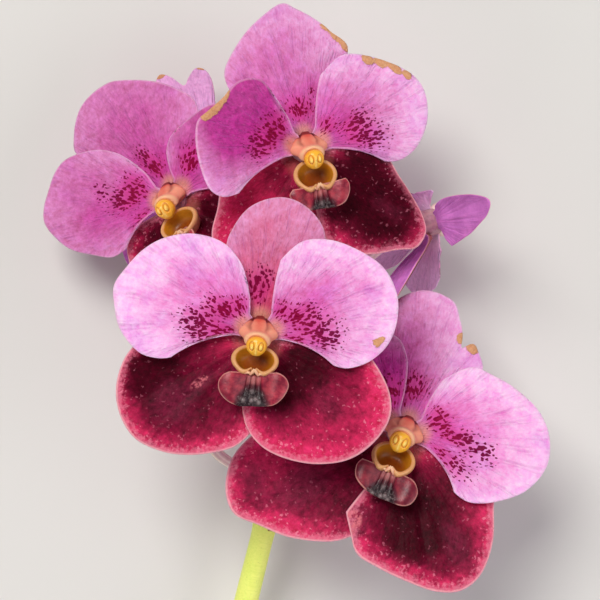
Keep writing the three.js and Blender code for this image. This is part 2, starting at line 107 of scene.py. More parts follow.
def heading(flat: Grid, axis: float) -> Grid:
    """The directions of flat places in degrees, each within half a turn of an axis."""
    return axis + (np.degrees(np.arctan2(flat[..., 1], flat[..., 0])) - axis + 180) % 360 - 180


def bell(off: Grid, wide: float, power: int = 2) -> Grid:
    """1 in the middle, and nothing far out on both sides."""
    return np.exp(-((off / wide) ** power))


def circle(sides: int) -> Grid:
    """The turns round a circle in radians, one for each side."""
    return np.arange(sides) / sides * 2 * math.pi


def spline(points: Grid, shares: Grid) -> Grid:
    """Places on a smooth curve through points, at shares of the number of its stretches.

    Args:
        points: The points that the curve goes through, one a row.
        shares: From 0 at the first point to 1 at the last.

    Returns:
        One place a row.
    """
    last = len(points) - 1
    place = np.clip(shares, 0.0, 1.0) * last
    start = np.minimum(place.astype(int), last - 1)
    t = (place - start)[:, None]
    before, a = points[np.maximum(start - 1, 0)], points[start]
    b, after = points[start + 1], points[np.minimum(start + 2, last)]
    v0, v1 = (b - before) * 0.5, (after - a) * 0.5
    return (2 * a - 2 * b + v0 + v1) * t**3 + (3 * b - 3 * a - 2 * v0 - v1) * t**2 + v0 * t + a


def spline_at_length(points: Grid, shares: Grid) -> Grid:
    """Places on a smooth curve through points, at shares of its length.

    Args:
        points: The points that the curve goes through, one a row.
        shares: From 0 at the first point to 1 at the last.

    Returns:
        One place a row.
    """
    fine = np.linspace(0.0, 1.0, FINE_STEPS + 1)
    walked = np.linalg.norm(np.diff(spline(points, fine), axis=0), axis=1).cumsum()
    walked = np.concatenate([[0.0], walked])
    return spline(points, np.interp(shares, walked / walked[-1], fine))


def centripetal(points: Grid, shares: Grid) -> Grid:
    """Places on a centripetal curve through points in space.

    Args:
        points: The points that the curve goes through, one a row.
        shares: From 0 at the first point to 1 at the last, by the number of stretches.

    Returns:
        One place a row.
    """
    last = len(points) - 1
    ends = np.vstack([2 * points[0] - points[1], points, 2 * points[-1] - points[-2]])
    made = []
    for share in shares:
        place = min(max(share, 0.0), 1.0) * last
        start = min(int(place), last - 1)
        t = place - start
        p0, p1, p2, p3 = ends[start : start + 4]
        legs = ((p0, p1), (p1, p2), (p2, p3))
        d0, d1, d2 = (max(float(np.linalg.norm(b - a)) ** 0.5, 1e-4) for a, b in legs)
        t1 = ((p1 - p0) / d0 - (p2 - p0) / (d0 + d1) + (p2 - p1) / d1) * d1
        t2 = ((p2 - p1) / d1 - (p3 - p1) / (d1 + d2) + (p3 - p2) / d2) * d1
        made.append(p1 + t1 * t + (3 * p2 - 3 * p1 - 2 * t1 - t2) * t**2 + (2 * p1 - 2 * p2 + t1 + t2) * t**3)
    return np.array(made)


# ------------------------------------------------------------------------------------------ meshes


@dataclass(frozen=True)
class Cut:
    """One mesh before it becomes an object: points in millimetres, faces and values at each point."""

    points: Grid
    faces: list[tuple[int, ...]]
    layers: dict[str, Grid]

    def place(
        self, name: str, frame: Matrix, material: bpy.types.Material, mirror: bool = False
    ) -> bpy.types.Object:
        """Makes the object in the spray's frame.

        Args:
            name: The piece's name.
            frame: Turns the drawing's millimetres into the spray's millimetres.
            material: What the piece is made of.
            mirror: Whether left and right change places first.

        Returns:
            The new object.
        """
        turned = self.points * np.array([-1.0 if mirror else 1.0, 1.0, 1.0])
        matrix = np.array(frame)
        placed = (turned @ matrix[:3, :3].T + matrix[:3, 3]) * MM
        mesh = bpy.data.meshes.new(name)
        mesh.from_pydata(placed.tolist(), [], self.faces)
        for layer, values in self.layers.items():
            made = mesh.attributes.new(layer, "FLOAT_VECTOR", "POINT")
            made.data.foreach_set("vector", np.ascontiguousarray(values, np.float32).ravel())
        work = bmesh.new()
        work.from_mesh(mesh)
        bmesh.ops.recalc_face_normals(work, faces=work.faces)
        work.to_mesh(mesh)
        work.free()
        mesh.shade_smooth()
        mesh.materials.append(material)
        made = bpy.data.objects.new(name, mesh)
        bpy.context.scene.collection.objects.link(made)
        return made


def sheet(middle: Grid, half: Grid, layers: dict[str, Grid]) -> Cut:
    """A closed thin sheet with a rounded rim about a grid of points.

    Args:
        middle: Rows by columns of points on the middle surface.
        half: Half the thickness at each point.
        layers: Three values a point for each named layer; `edge` gets the side in its second.

    Returns:
        The sheet as one closed mesh.
    """
    rows, columns = half.shape
    out, across = np.gradient(middle, axis=0), np.gradient(middle, axis=1)
    normal = np.cross(out, across)
    normal /= np.linalg.norm(normal, axis=-1, keepdims=True) + 1e-9
    if normal[..., 2].mean() < 0:
        normal = -normal
    inward = np.zeros_like(middle)
    inward[0] += middle[1] - middle[0]
    inward[-1] += middle[-2] - middle[-1]
    inward[:, 0] += middle[:, 1] - middle[:, 0]
    inward[:, -1] += middle[:, -2] - middle[:, -1]
    inward /= np.linalg.norm(inward, axis=-1, keepdims=True) + 1e-9
    number = np.arange(rows * columns).reshape(rows, columns)
    loop = np.concatenate([number[0, :-1], number[:-1, -1], number[-1, :0:-1], number[:0:-1, 0]])
    flat, thick = middle.reshape(-1, 3), half.reshape(-1, 1)
    lift = normal.reshape(-1, 3) * thick
    bead = flat[loop] - inward.reshape(-1, 3)[loop] * thick[loop] * 0.8
    points = np.vstack([flat + lift, flat - lift, bead])
    total, ring = rows * columns, len(loop)
    a = number[:-1, :-1].ravel()
    corners = np.stack([a, a + 1, a + columns + 1, a + columns], axis=1)
    faces = [tuple(f) for f in corners.tolist()]
    faces += [tuple(f[::-1]) for f in (corners + total).tolist()]
    for k in range(ring):
        n = (k + 1) % ring
        here, there = int(loop[k]), int(loop[n])
        faces.append((here, there, 2 * total + n, 2 * total + k))
        faces.append((2 * total + k, 2 * total + n, total + there, total + here))
    held = {}
    for name, values in layers.items():
        front = values.reshape(-1, 3).copy()
        back, rim = front.copy(), front[loop].copy()
        if name == "edge":
            front[:, 1], back[:, 1], rim[:, 1] = SIDE_VALUES
        held[name] = np.vstack([front, back, rim])
    return Cut(points, faces, held)


def ringed(rings: Grid, layers: dict[str, Grid]) -> Cut:
    """A closed body through rings of points, with its two ends filled.

    Args:
        rings: Rings by points round by coordinates.
        layers: Three values a point for each named layer.

    Returns:
        The body as one closed mesh.
    """
    count, round_ = rings.shape[:2]
    points = np.vstack([rings.reshape(-1, 3), rings[0].mean(0), rings[-1].mean(0)])
    faces = []
    for i in range(count - 1):
        for k in range(round_):
            n = (k + 1) % round_
            faces.append((i * round_ + k, i * round_ + n, (i + 1) * round_ + n, (i + 1) * round_ + k))
    first, last = count * round_, count * round_ + 1
    for k in range(round_):
        n = (k + 1) % round_
        faces.append((n, k, first))
        faces.append(((count - 1) * round_ + k, (count - 1) * round_ + n, last))
    held = {
        name: np.vstack([values.reshape(-1, 3), values[0].mean(0), values[-1].mean(0)])
        for name, values in layers.items()
    }
    return Cut(points, faces, held)


def swept(stations: Grid, steps: int, sides: int, swell: Grid | None = None) -> tuple[Grid, Grid, Grid]:
    """Rings round a smooth curve.

    Args:
        stations: Points that the curve goes through, with the radius in the fourth column.
        steps: How many stretches the curve is cut into.
        sides: How many points each ring has.
        swell: A factor on the radius for each ring and side.

    Returns:
        The rings, the share of the way along and the turn round for each point.
    """
    shares = np.linspace(0.0, 1.0, steps + 1)
    centres = centripetal(stations[:, :3], shares)
    radii = np.interp(shares, np.linspace(0.0, 1.0, len(stations)), stations[:, 3])
    along = np.gradient(centres, axis=0)
    along /= np.linalg.norm(along, axis=1, keepdims=True)
    side = np.array(FIRST_SIDE)
    turns = circle(sides)
    rings = np.zeros((steps + 1, sides, 3))
    for i in range(steps + 1):
        side = side - along[i] * side.dot(along[i])
        side /= np.linalg.norm(side)
        up = np.cross(along[i], side)
        reach = radii[i] * (swell[i] if swell is not None else np.ones(sides))
        rings[i] = centres[i] + np.outer(np.cos(turns) * reach, side) + np.outer(np.sin(turns) * reach, up)
    return rings, np.repeat(shares[:, None], sides, axis=1), np.repeat(turns[None], steps + 1, axis=0)


def lathed(profile: Pairs, levels: int, sides: int) -> tuple[Grid, Grid, Grid, Grid]:
    """Rings round an upright axis, by a smooth outline.

    Args:
        profile: The radius and level of each point that the outline goes through.
        levels: How many rings there are.
        sides: How many points each ring has.

    Returns:
        Each ring's radius, the level of each point, the turns and the share of the way of each point.
    """
    shares, turns = np.linspace(0.0, 1.0, levels), circle(sides)
    outline = spline(np.array(profile), shares)
    radius, level = np.maximum(outline[:, :1], THINNEST), outline[:, 1:] + 0 * turns
    return radius, level, turns, np.repeat(shares[:, None], sides, axis=1)


def rim_distance(flat: Grid) -> Grid:
    """How far each point of a flat grid is from its rim, without the row at the claw."""
    rim = np.vstack([flat[1:, 0], flat[-1, 1:-1], flat[:0:-1, -1]])
    return np.linalg.norm(flat[:, :, None] - rim[None, None], axis=-1).min(-1)


def tissue_layers(
    turn: Grid, out: Grid, distance: Grid, near: Grid, seed: int, marks: list[Grid]
) -> dict[str, Grid]:
    """The values that the finish of a thin organ reads at each point.

    Args:
        turn: The share of the way round the margin, a column each.
        out: The share of the way to the margin, a row each.
        distance: The distance from the claw.
        near: The distance from the margin.
        seed: Sets the pattern.
        marks: How strong each of its three marks is.

    Returns:
        The named layers.
    """
    number = np.full_like(near, float(seed % SEED_SPAN))
    return {
        "fan": np.stack([np.broadcast_to(v, distance.shape) for v in (turn, distance, out)], -1),
        "edge": np.stack([near, near, number], -1),
        "field": np.stack([np.clip(mark, 0.0, 1.0) for mark in marks], -1),
    }


def together(*cuts: Cut) -> Cut:
    """Several bodies as one mesh.

    Args:
        cuts: The bodies, with the same layers.

    Returns:
        The mesh.
    """
    faces: list[tuple[int, ...]] = []
    start = 0
    for cut in cuts:
        faces += [tuple(corner + start for corner in face) for face in cut.faces]
        start += len(cut.points)
    layers = {name: np.vstack([cut.layers[name] for cut in cuts]) for name in cuts[0].layers}
    return Cut(np.vstack([cut.points for cut in cuts]), faces, layers)


# --------------------------------------------------------------------------------- shader building


def tint(code: str) -> tuple[float, float, float, float]:
    """A colour code such as d86fc2 as the linear colour that a shader wants.

    Args:
        code: Two hexadecimal digits each for red, green and blue.

    Returns:
        Red, green, blue and an alpha of one.
    """
    parts = [int(code[i : i + 2], 16) / 255 for i in (0, 2, 4)]
    linear = [p / 12.92 if p <= 0.04045 else ((p + 0.055) / 1.055) ** 2.4 for p in parts]
    return (linear[0], linear[1], linear[2], 1.0)


class Graph:
    """Adds nodes to one shader tree in few words."""

    def __init__(self, tree: bpy.types.NodeTree) -> None:
        """Takes the tree to add to."""
        self.tree = tree

    def feed(self, socket: Socket, value: object) -> None:
        """Links a socket, or sets it from a colour code or a plain value.

        Args:
            socket: The socket to feed.
            value: Another socket, a colour code, a number or a vector.
        """
        if isinstance(value, Socket):
            self.tree.links.new(value, socket)
        else:
            socket.default_value = tint(value) if isinstance(value, str) else value

    def add(self, kind: str, settings: dict | None = None, *row: object, **inputs: object) -> bpy.types.Node:
        """Adds one node.

        Args:
            kind: The node's type without its ShaderNode.
            settings: Its own properties.
            row: What goes into its first sockets.
            inputs: What goes into its sockets, by name with _ for a space.

        Returns:
            The node.
        """
        made = self.tree.nodes.new("ShaderNode" + kind)
        for name, value in (settings or {}).items():
            setattr(made, name, value)
        for socket, value in zip(made.inputs, row):
            self.feed(socket, value)
        for name, value in inputs.items():
            self.feed(made.inputs[name.replace("_", " ")], value)
        return made

    def use(self, group: bpy.types.NodeTree, **inputs: object) -> bpy.types.Node:
        """Places a shared effect."""
        return self.add("Group", {"node_tree": group}, **inputs)

    def math(self, operation: str, *values: object, clamp: bool = False) -> Socket:
        """The result of one sum on numbers."""
        return self.add("Math", {"operation": operation, "use_clamp": clamp}, *values).outputs[0]

    def plus(self, a: object, b: object, clamp: bool = False) -> Socket:
        """The sum of two numbers."""
        return self.math("ADD", a, b, clamp=clamp)

    def grown(self, value: object, factor: object, more: object, clamp: bool = False) -> Socket:
        """A number times a factor, and more."""
        return self.math("MULTIPLY_ADD", value, factor, more, clamp=clamp)

    def times(self, *values: object) -> object:
        """The product of one or more numbers."""
        return reduce(lambda product, value: self.math("MULTIPLY", product, value), values)

    def mix(self, share: object, a: object, b: object, blend: str = "MIX") -> Socket:
        """Colour a turned into colour b by a share.

        Args:
            share: From 0 for a to 1 for b.
            a: A colour.
            b: A colour.
            blend: How b is laid over a.

        Returns:
            The colour between them.
        """
        made = self.add("Mix", {"data_type": "RGBA", "blend_type": blend, "clamp_factor": True})
        for index, value in ((0, share), (6, a), (7, b)):
            self.feed(made.inputs[index], value)
        return made.outputs[2]

    def over(self, base: object, colour: object, *masks: object) -> Socket:
        """A colour laid over a base colour by the product of masks."""
        return self.mix(self.times(*masks), base, colour)

    def ease(self, value: object, low: float, high: float) -> Socket:
        """0 at low, 1 at high, and a smooth step between them."""
        return self.add("MapRange", {"interpolation_type": "SMOOTHSTEP"}, value, low, high).outputs[0]

    def vector(self, x: object, y: object, z: object) -> Socket:
        """Three numbers as one vector."""
        return self.add("CombineXYZ", None, x, y, z).outputs[0]

    def parts(self, vector: Socket) -> list[Socket]:
        """A vector's three numbers."""
        return list(self.add("SeparateXYZ", None, vector).outputs)

    def whole(self, name: str) -> Socket:
        """A named layer of the mesh as a vector."""
        return self.add("Attribute", {"attribute_name": name}).outputs["Vector"]

    def layer(self, name: str) -> list[Socket]:
        """The three values of a named layer of the mesh."""
        return self.parts(self.whole(name))

    def noise(self, vector: object, scale: float, detail: float = 2.0, rough: float = 0.5) -> Socket:
        """Soft noise from 0 to 1, about 0.5."""
        made = self.add("TexNoise", None, Vector=vector, Scale=scale, Detail=detail, Roughness=rough)
        return made.outputs[0]

    def uneven(self, vector: object, scale: float, detail: float = 2.0, rough: float = 0.5) -> Socket:
        """Soft noise about 0, from -0.5 to 0.5."""
        return self.math("SUBTRACT", self.noise(vector, scale, detail, rough), 0.5)

    def stirred(self, place: Socket, scale: float, detail: float, reach: Place) -> Socket:
        """A place moved about by soft noise."""
        noise = self.add("TexNoise", None, Vector=place, Scale=scale, Detail=detail).outputs["Color"]
        return self.add("VectorMath", {"operation": "MULTIPLY_ADD"}, noise, reach, place).outputs[0]

    def cells(self, place: Socket, scale: object, randomness: float = 1.0, **settings: str) -> bpy.types.Node:
        """Irregular cells, with each place's distance and each cell's colour."""
        return self.add("TexVoronoi", settings, Vector=place, Scale=scale, Randomness=randomness)

    def place(self) -> Socket:
        """The place on the piece, in millimetres."""
        held = self.add("TexCoord").outputs["Object"]
        return self.add("VectorMath", {"operation": "SCALE"}, Vector=held, Scale=1 / MM).outputs[0]


class Effects:
    """The shader groups that several materials share, each built once."""

    def __init__(self) -> None:
        """Builds the groups."""
        self.veins = self._veins()
        self.spots = self._spots()
        self.grain_and_glints = self._grain_and_glints()
        self.rim = self._rim()
        self.withered = self._withered()
        self.tone = self._tone()

    @staticmethod
    def _start(name: str, inputs: dict[str, object], outputs: dict[str, str]) -> tuple[Graph, list, list]:
        """An empty group with its sockets.

        Args:
            name: The group's name.
            inputs: Each input's name with its type, or with its value where it is a number.
            outputs: Each output's name with its type.

        Returns:
            The graph, the inputs' sockets inside it and the sockets to feed.
        """
        tree = bpy.data.node_groups.new(name, "ShaderNodeTree")
        for key, value in inputs.items():
            kind = value if isinstance(value, str) else NUMBER
            made = tree.interface.new_socket(name=key, in_out="INPUT", socket_type=kind)
            if kind is NUMBER:
                made.default_value = value
        for key, kind in outputs.items():
            tree.interface.new_socket(name=key, in_out="OUTPUT", socket_type=kind)
        start, end = tree.nodes.new("NodeGroupInput"), tree.nodes.new("NodeGroupOutput")
        return Graph(tree), list(start.outputs)[:-1], list(end.inputs)[:-1]

    def _veins(self) -> bpy.types.NodeTree:
        """Broken veins that fan out from the claw and fork, with short soft streaks between them.

        Returns:
            The group.
        """
        g, (fan, count, seed), (vein_out, fibre_out) = self._start(
            "tepal_veins", {"Fan": VECTOR, "Count": 20.0, "Seed": 0.0}, {"Vein": NUMBER, "Fibre": NUMBER}
        )
        turn, distance, out = g.parts(fan)
        wander = g.uneven(g.vector(g.times(turn, 5.0), g.times(distance, 0.06), seed), 1.0)
        lines = []
        for share, wide, bend in ((1.0, 0.3, 1.0), (2.0, 0.34, 1.5)):
            across = g.plus(g.times(turn, count, share), g.times(wander, bend))
            off = g.times(g.math("ABSOLUTE", g.math("SUBTRACT", g.math("FRACT", across), 0.5)), 2.0)
            lines.append(g.ease(off, wide, 0.02))
        forks = g.times(lines[1], g.ease(out, 0.25, 0.65), 0.6)
        stretches = g.noise(g.vector(g.times(turn, count, 1.4), g.times(distance, 0.14), seed), 1.0)
        g.feed(vein_out, g.times(g.math("MAXIMUM", lines[0], forks), g.ease(stretches, 0.4, 0.62)))
        thin = g.vector(g.times(turn, count, 3.4), g.times(distance, 0.55), seed)
        g.feed(fibre_out, g.noise(thin, 1.0, 4.0, 0.66))
        return g.tree

    def _spots(self) -> bpy.types.NodeTree:
        """Long spots in rows along the veins, which run together into a net where they are dense.

        Returns:
            The group.
        """
        inputs = {"Fan": VECTOR, "Density": 0.0, "Rows": 26.0, "Length": 2.2, "Seed": 0.0}
        g, sockets, (mask_out,) = self._start("tepal_spots", inputs, {"Mask": NUMBER})
        fan, density, rows, length, seed = sockets
        turn, distance, _ = g.parts(fan)
        cells = g.vector(g.times(turn, rows), g.math("DIVIDE", distance, length), seed)
        near = g.cells(g.stirred(cells, 1.3, 1.0, (0.9, 0.9, 0.0)), 1.0, 0.9, voronoi_dimensions="2D")
        dense = g.plus(density, g.times(g.uneven(cells, 0.35, 1.0), density, 0.5))
        kept = g.math("SUBTRACT", g.times(dense, 0.46), g.times(near.outputs["Distance"], 0.9))
        value = g.plus(kept, g.times(g.uneven(cells, 2.1), 0.4))
        g.feed(mask_out, g.times(g.ease(value, -0.02, 0.07), g.ease(dense, 0.1, 0.24)))
        return g.tree

    def _grain_and_glints(self) -> bpy.types.NodeTree:
        """The fine cells of fresh petal skin, and a mask of small painted glints.

        Returns:
            The group.
        """
        g, (place, scale), (cell_out, painted_glint_out) = self._start(
            "skin_cells_and_glints", {"Place": VECTOR, "Scale": 1.6}, {"Cells": NUMBER, "PaintedGlint": NUMBER}
        )
        g.feed(cell_out, g.cells(place, scale).outputs["Distance"])
        g.feed(painted_glint_out, g.ease(g.noise(place, 1.1, 3.0, 0.7), 0.56, 0.72))
        return g.tree

    def _rim(self) -> bpy.types.NodeTree:
        """A band of uneven width along the margin.

        Returns:
            The group.
        """
        inputs = {"Place": VECTOR, "Margin": 0.0, "Width": 1.0, "Ragged": 0.5}
        g, (place, margin, width, ragged), (mask_out,) = self._start("margin_band", inputs, {"Mask": NUMBER})
        stray = g.times(g.uneven(place, 0.5, 3.0, 0.6), ragged, 2.0)
        g.feed(mask_out, g.ease(g.math("DIVIDE", g.plus(margin, stray), width), 1.0, 0.25))
        return g.tree

    def _withered(self) -> bpy.types.NodeTree:
        """Dry brown tissue with a ragged outline, over the fresh colour.

        Returns:
            The group.
        """
        g, (place, fresh, mask), (colour_out, dry_out) = self._start(
            "dry_tissue", {"Place": VECTOR, "Fresh": COLOUR, "Mask": 0.0}, {"Colour": COLOUR, "Dry": NUMBER}
        )
        torn = g.plus(mask, g.times(g.uneven(place, 0.9, 3.0, 0.6), 0.5))
        dry = g.times(g.ease(torn, 0.42, 0.55), g.ease(mask, 0.05, 0.2))
        g.feed(colour_out, g.mix(dry, fresh, g.mix(g.noise(place, 1.4, 3.0), DRY_DARK, DRY_PALE)))
        g.feed(dry_out, dry)
        return g.tree

    def _tone(self) -> bpy.types.NodeTree:
        """Uneven tissue: short streaks and soft blotches, lighter and darker than the fresh colour.

        Returns:
            The group.
        """
        g, (place, fresh, fibre, streaks, blotches), (colour_out,) = self._start(
            "tissue_tone",
            {"Place": VECTOR, "Fresh": COLOUR, "Fibre": 0.5, "Streaks": 1.5, "Blotches": 1.5},
            {"Colour": COLOUR},
        )
        blotch = g.times(g.uneven(place, 0.3, 4.0, 0.6), blotches)
        streak = g.times(g.math("SUBTRACT", fibre, 0.5), streaks)
        value = g.plus(g.plus(streak, blotch), 0.5, clamp=True)
        g.feed(colour_out, g.mix(1.0, fresh, g.vector(value, value, value), "OVERLAY"))
        return g.tree


class Tissue:
    """What a material can read at each point of a thin organ."""

    def __init__(self, g: Graph, effects: Effects, veins: float) -> None:
        """Reads the mesh's layers and places the veins.

        Args:
            g: The material's graph.
            effects: The shared shader groups.
            veins: How many main veins there are from edge to edge.
        """
        self.g, self.effects = g, effects
        self.place, self.fan = g.place(), g.whole("fan")
        self.turn, self.distance, self.out = g.parts(self.fan)
        self.margin, self.side, self.seed = g.layer("edge")
        self.marks = g.layer("field")
        made = g.use(effects.veins, Fan=self.fan, Count=veins, Seed=self.seed)
        self.fibre, self.vein = made.outputs["Fibre"], made.outputs["Vein"]

    def toned(self, fresh: Socket, streaks: float, blotches: float) -> Socket:
        """The fresh colour with its streaks and blotches."""
        values = {"Fibre": self.fibre, "Streaks": streaks, "Blotches": blotches}
        return self.g.use(self.effects.tone, Place=self.place, Fresh=fresh, **values).outputs[0]

    def rim(self, width: float, ragged: float) -> Socket:
        """A mask for a band along the margin."""
        made = self.g.use(self.effects.rim, Place=self.place, Margin=self.margin, Width=width, Ragged=ragged)
        return made.outputs[0]


# ---------------------------------------------------------------------------------------- finishes


@dataclass(frozen=True)
class Skin:
    """What every finish of living tissue shares: how it shines, and how light sinks in."""

    roughness: float = 0.45
    shine: float = 0.28
    sheen: float = 0.02
    glow: float = 0.1
    depth: float = 0.1  # of the fine relief, in millimetres

    GLOW_REACH = (1.0, 0.35, 0.45)
    GLOW_SCALE = 0.0016
    SHEEN_ROUGHNESS = 0.4

    def material(self, name: str, effects: Effects) -> bpy.types.Material:
        """Builds the finish.

        Args:
            name: The material's name.
            effects: The shared shader groups.

        Returns:
            The material.
        """
        made = bpy.data.materials.new(name)
        made.use_nodes = True
        g, shader = Graph(made.node_tree), made.node_tree.nodes["Principled BSDF"]
        colour, relief, rough = self.paint(g, effects)
        bump = g.add("Bump", None, Strength=1.0, Distance=self.depth * MM, Height=relief)
        values = {
            "Specular IOR Level": self.shine,
            "Subsurface Weight": self.glow,
            "Subsurface Radius": self.GLOW_REACH,
            "Subsurface Scale": self.GLOW_SCALE,
            "Sheen Weight": self.sheen,
            "Sheen Roughness": self.SHEEN_ROUGHNESS,
            "Base Color": colour,
            "Roughness": rough,
            "Normal": bump.outputs[0],
        }
        for socket, value in values.items():
            g.feed(shader.inputs[socket], value)
        return made

    def paint(self, g: Graph, effects: Effects) -> Paint:
        """What changes over the surface.

        Args:
            g: The material's graph.
            effects: The shared shader groups.

        Returns:
            The colour, the fine relief and the roughness.
        """
        raise NotImplementedError


@dataclass(frozen=True)
class PinkFinish(Skin):
    """A pink tepal: a peach claw, dark spots along the veins, a paler margin, a pale violet back, a deeper
    magenta flush that is partly painted shade, and faint painted glints.
    """

    shine: float = 0.1
    sheen: float = 0.0
    depth: float = 0.55
    inner: str = "e76ec0"
    outer: str = "fdc2f0"
    lilac: str = "dc8fe0"
    # A deeper magenta flush, partly painted shade on tepals that lie in shade.
    blush_and_shade: str = "b80e86"
    claw: str = "f3a98c"
    spot_near: str = "90003c"
    spot_far: str = "74003c"
    halo: str = "d93a92"
    vein: str = "b658a8"
    rim: str = "fddcf0"
    back: str = "fac6f6"
    back_vein: str = "ae6fb2"
    lilac_share: float = 0.45
    mottle: float = 0.65
    rows: float = 20.0

    # where each size of spot starts and ends, its rows against the others' and its length
    SPOT_RINGS = ((0.0, 8.5, 0.75, 2.2), (8.5, 15.0, 1.2, 2.1), (15.0, 60.0, 1.7, 2.0))
    RING_BLEND = 0.3

    def _spotted(self, t: Tissue, density: Socket) -> Socket:
        """The mask of the spots, which are finer in each ring from the claw outwards.

        Args:
            t: What can be read at each point.
            density: How dense the spots are.

        Returns:
            The mask.
        """
        g, mask = t.g, 0.0
        for start, end, finer, length in self.SPOT_RINGS:
            rows = {"Rows": self.rows * finer, "Length": length}
            some = g.use(t.effects.spots, Fan=t.fan, Density=density, Seed=t.seed, **rows).outputs[0]
            inside = g.ease(t.distance, start - self.RING_BLEND, start)
            here = g.times(inside, g.ease(t.distance, end + self.RING_BLEND, end))
            mask = g.math("MAXIMUM", mask, g.times(some, here))
        return mask

    def paint(self, g: Graph, effects: Effects) -> Paint:
        """What changes over the surface.

        Args:
            g: The material's graph.
            effects: The shared shader groups.

        Returns:
            The colour, the fine relief and the roughness.
        """
        t = Tissue(g, effects, 15.0)
        spots, blush_and_shade, dry = t.marks
        far = g.plus(t.out, g.times(g.uneven(t.place, 0.07, 3.0, 0.6), 1.1))
        front = g.mix(g.ease(far, 0.15, 1.0), self.inner, self.outer)
        front = g.over(front, self.lilac, g.ease(g.noise(t.place, 0.09), 0.5, 0.75), self.lilac_share)
        # The deeper magenta flush from the second marks, partly painted shade.
        front = t.toned(g.over(front, self.blush_and_shade, blush_and_shade, 0.92), self.mottle, 0.5)
        front = g.over(front, self.vein, t.vein, 0.26)
        # Faint painted glints, in the margin's pale colour.
        front = g.over(front, self.rim, g.use(effects.grain_and_glints, Place=t.place).outputs["PaintedGlint"], 0.09)
        front = g.over(front, self.halo, g.ease(spots, 0.1, 0.8), g.ease(t.distance, 26.0, 6.0), 0.7)
        front = g.over(front, self.claw, g.ease(t.distance, 5.2, 1.2), 0.75)
        spot = g.mix(g.ease(t.distance, 7.0, 20.0), self.spot_near, self.spot_far)
        front = g.over(front, spot, self._spotted(t, spots))
        front = g.over(front, self.rim, t.rim(0.7, 0.1), 0.25)
        behind = g.over(self.back, self.back_vein, g.ease(t.fibre, 0.35, 0.75), 0.35)
        behind = g.over(behind, self.back_vein, t.vein, 0.3)
        behind = g.over(behind, self.rim, g.ease(t.distance, 9.0, 2.0), 0.4)
        behind = g.over(behind, self.inner, blush_and_shade, 0.6)
        dead = g.use(effects.withered, Place=t.place, Fresh=g.mix(t.side, behind, front), Mask=dry)
        relief = g.grown(t.fibre, 0.8, g.times(g.noise(t.place, 0.3, 3.0, 0.6), 1.6))
        relief = g.math("SUBTRACT", relief, g.times(t.vein, 0.35))
        folds = g.noise(g.vector(g.times(t.turn, 7.0), g.times(t.distance, 0.05), t.seed), 1.0)
        relief = g.plus(relief, g.times(folds, g.ease(t.distance, 3.0, 14.0), 3.0))
        relief = g.plus(relief, g.times(dead.outputs["Dry"], 0.4))
        rough = g.grown(t.fibre, 0.16, self.roughness - 0.08)
        return dead.outputs["Colour"], relief, g.grown(dead.outputs["Dry"], 0.25, rough)


